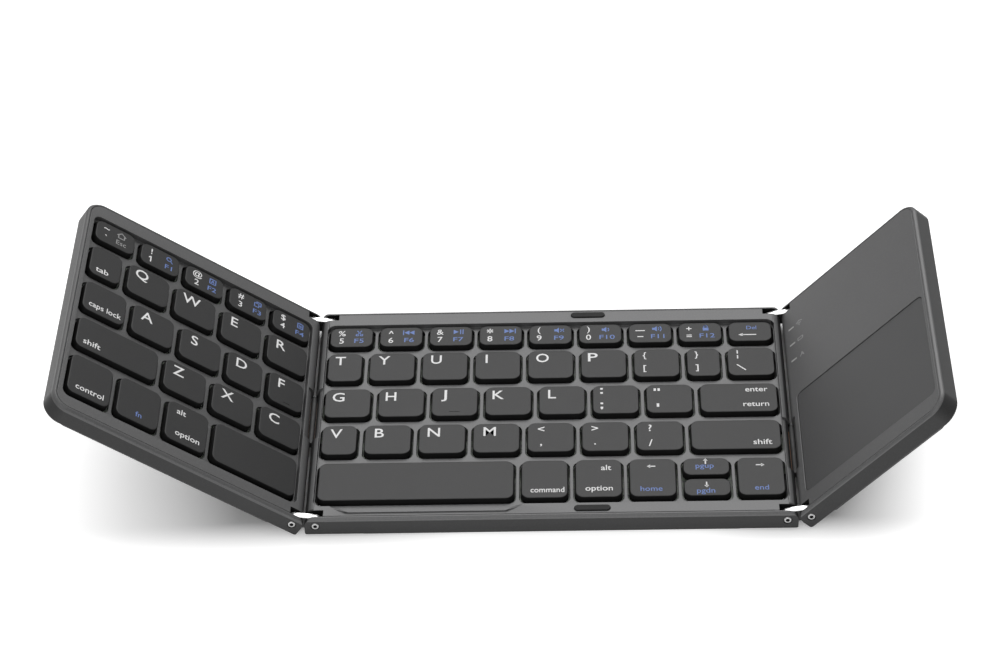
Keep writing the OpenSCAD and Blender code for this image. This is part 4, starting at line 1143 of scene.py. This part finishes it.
def cableStrip(side, end, y, xs):
    c = flexCable
    name = side + "_flex_cable_" + end
    toRest = place[side + "Link"]
    z = pivotHeight - c["drop"]
    wide, thick = c["width"] / 2, c["thickness"] / 2
    corners = rectangle(y - wide, z - thick, y + wide, z + thick)
    bm = bmesh.new()
    rows = []
    for i in range(c["steps"] + 1):
        x = xs[0] + (xs[1] - xs[0]) * i / c["steps"]
        rows.append([bm.verts.new((x, *corner)) for corner in corners])
    for lower, upper in zip(rows, rows[1:]):
        bridge(bm, lower, upper)
    bm.faces.new(rows[0])
    bm.faces.new(list(reversed(rows[-1])))
    mesh = meshFrom(bm, name, toRest)
    mesh.materials.append(finishes["cableFilm"])
    strip = addObject(name, mesh)
    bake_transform(strip)
    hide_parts(side + "_flex_cable")


def makeCables():
    for side in ("left", "right"):
        out = -1 if side == "left" else 1
        low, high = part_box(side + "_cable_sleeve")
        y = (low.y + high.y) / 2 * 1000
        inner = jointSpot(side + "_link_hinge").x * 1000
        outer = inner + out * linkSpan(side) * 1000
        middle = (inner + outer) / 2
        reach, bend = out * flexCable["reach"], out * flexCable["bend"]
        cableStrip(side, "in", y, (inner + reach, middle))
        cableStrip(side, "out", y, (middle, outer - reach))


makeCables()
print("flex cables made")


# Camera, floor and light

cameraSetup = {"lens": 104.694, "sensor": 36, "nearClip": 0.01, "azimuth": 2.2238,
               "elevation": 40.6376, "roll": -2.3447, "distance": 0.908359,
               "target": (-0.015157, 0, 0.039711)}


def makeCamera():
    c = cameraSetup
    azimuth, elevation = math.radians(c["azimuth"]), math.radians(c["elevation"])
    back = Vector((math.sin(azimuth) * math.cos(elevation),
                   -math.cos(azimuth) * math.cos(elevation), math.sin(elevation)))
    right = (-back).cross(Vector((0, 0, 1))).normalized()
    up = right.cross(-back)
    roll = math.radians(c["roll"])
    across = right * math.cos(roll) + up * math.sin(roll)
    upward = up * math.cos(roll) - right * math.sin(roll)
    turn = Matrix((across, upward, back)).transposed().to_4x4()
    camera = addObject("camera", bpy.data.cameras.new("camera"))
    camera.data.lens = c["lens"]
    camera.data.sensor_width = c["sensor"]
    camera.data.clip_start = c["nearClip"]
    camera.matrix_world = Matrix.Translation(Vector(c["target"]) + back * c["distance"]) @ turn
    scene.camera = camera


studio = {
    "floorSize": 6.0, "floorGrey": 0.90, "floorRough": 0.9, "glowNear": 0.64, "glowFar": 0.16,
    "glowFades": (0.12, 0.35), "ambient": 0.50, "skyLow": 0.30, "skyHigh": 1.0, "skyRise": 0.6,
    "paintedShadows": [  # middle, half size and soft rim of the painted shadow under each wing's hinge
        ((-0.085, 0.003), (0.012, 0.045), (0.055, 0.012)),
        ((0.080, 0.003), (0.006, 0.045), (0.035, 0.012))],
    "lamps": [  # name, place, target, width, depth, watts
        ("back softbox", (0.05, 0.75, 0.95), (0, 0, 0.02), 1.1, 0.7, 7.5),
        ("front fill", (-0.35, -1.1, 0.75), (0, 0, 0.02), 0.9, 0.7, 3.0),
    ],
}


def makeFloor():
    bm = bmesh.new()
    bmesh.ops.create_grid(bm, x_segments=2, y_segments=2, size=studio["floorSize"] / 2)
    mesh = bpy.data.meshes.new("floor")
    bm.to_mesh(mesh)
    bm.free()
    floor = addObject("floor", mesh)
    material = bpy.data.materials.new("paleFloor")
    material.use_nodes = True
    tree = material.node_tree
    shader = tree.nodes["Principled BSDF"]
    setInputs(shader, {"Roughness": studio["floorRough"], "Specular IOR Level": 0.0,
                       "Emission Color": (1, 1, 1, 1)})
    coords = newNode(tree, "ShaderNodeTexCoord").outputs["Object"]
    tone = remap(tree, noise(tree, coords, 2.0), 0, 1)
    grey = studio["floorGrey"]
    tree.links.new(mixColour(tree, tone, colourOf(grey), colourOf(grey * 1.01)),
                   shader.inputs["Base Color"])
    path = newNode(tree, "ShaderNodeLightPath").outputs
    seen = mathNode(tree, "MAXIMUM", path["Is Camera Ray"], path["Is Glossy Ray"])
    seen = mathNode(tree, "MAXIMUM", seen, path["Is Transmission Ray"])
    glow = mathNode(tree, "MULTIPLY", seen, floorGlowWithPaintedShadows(tree, coords))
    tree.links.new(glow, shader.inputs["Emission Strength"])
    mesh.materials.append(material)


def floorGlowWithPaintedShadows(tree, coords):  # white floor for the camera; the glow is stronger near the object as painted light over its shadow, and taken away under the wings' hinges as painted shadow
    away = newNode(tree, "ShaderNodeVectorMath", operation="LENGTH")
    tree.links.new(coords, away.inputs[0])
    glow = remap(tree, away.outputs["Value"], studio["glowNear"], studio["glowFar"],
                 *studio["glowFades"])
    spot = newNode(tree, "ShaderNodeSeparateXYZ")
    tree.links.new(coords, spot.inputs[0])
    for middle, half, rim in studio["paintedShadows"]:
        squares = []
        for i in range(2):
            off = mathNode(tree, "SUBTRACT", spot.outputs[i], middle[i])
            off = mathNode(tree, "SUBTRACT", mathNode(tree, "ABSOLUTE", off), half[i])
            out = mathNode(tree, "DIVIDE", mathNode(tree, "MAXIMUM", off, 0.0), rim[i])
            squares.append(mathNode(tree, "POWER", out, 2.0))
        reach = mathNode(tree, "SQRT", mathNode(tree, "ADD", *squares))
        glow = mathNode(tree, "MULTIPLY", glow, remap(tree, reach, 0.0, 1.0, 0.0, 1.0))
    return glow


def mixShader(tree, factor, first, second):
    node = newNode(tree, "ShaderNodeMixShader")
    for socket, value in zip(node.inputs, (factor, first, second)):
        tree.links.new(value, socket)
    return node.outputs[0]


def makeLight():
    world = bpy.data.worlds.new("studio")
    scene.world = world
    world.use_nodes = True
    tree = world.node_tree
    tree.nodes.clear()
    soft = newNode(tree, "ShaderNodeBackground")
    setInputs(soft, {"Color": (1, 1, 1, 1), "Strength": studio["ambient"]})
    sky = newNode(tree, "ShaderNodeBackground")
    direction = newNode(tree, "ShaderNodeTexCoord").outputs["Generated"]
    split = newNode(tree, "ShaderNodeSeparateXYZ")
    tree.links.new(direction, split.inputs[0])
    level = remap(tree, split.outputs["Z"], studio["skyLow"], studio["skyHigh"],
                  fromLow=0.0, fromHigh=studio["skyRise"])
    tree.links.new(level, sky.inputs["Strength"])
    white = newNode(tree, "ShaderNodeBackground")
    setInputs(white, {"Color": (1, 1, 1, 1), "Strength": 1.0})
    path = newNode(tree, "ShaderNodeLightPath").outputs
    lit = mixShader(tree, path["Is Glossy Ray"], soft.outputs[0], sky.outputs[0])
    seen = mathNode(tree, "MAXIMUM", path["Is Camera Ray"], path["Is Transmission Ray"])
    surface = mixShader(tree, seen, lit, white.outputs[0])
    out = newNode(tree, "ShaderNodeOutputWorld")
    tree.links.new(surface, out.inputs["Surface"])
    for name, spot, target, width, depth, watts in studio["lamps"]:
        lamp = bpy.data.lights.new(name, "AREA")
        lamp.shape = "RECTANGLE"
        lamp.size, lamp.size_y, lamp.energy = width, depth, watts
        holder = addObject(name, lamp)
        aim = (Vector(target) - Vector(spot)).to_track_quat("-Z", "Y")
        holder.matrix_world = Matrix.Translation(spot) @ aim.to_matrix().to_4x4()


makeCamera()
makeFloor()
makeLight()
scene.view_settings.view_transform = "Standard"
print("camera, floor and light set")
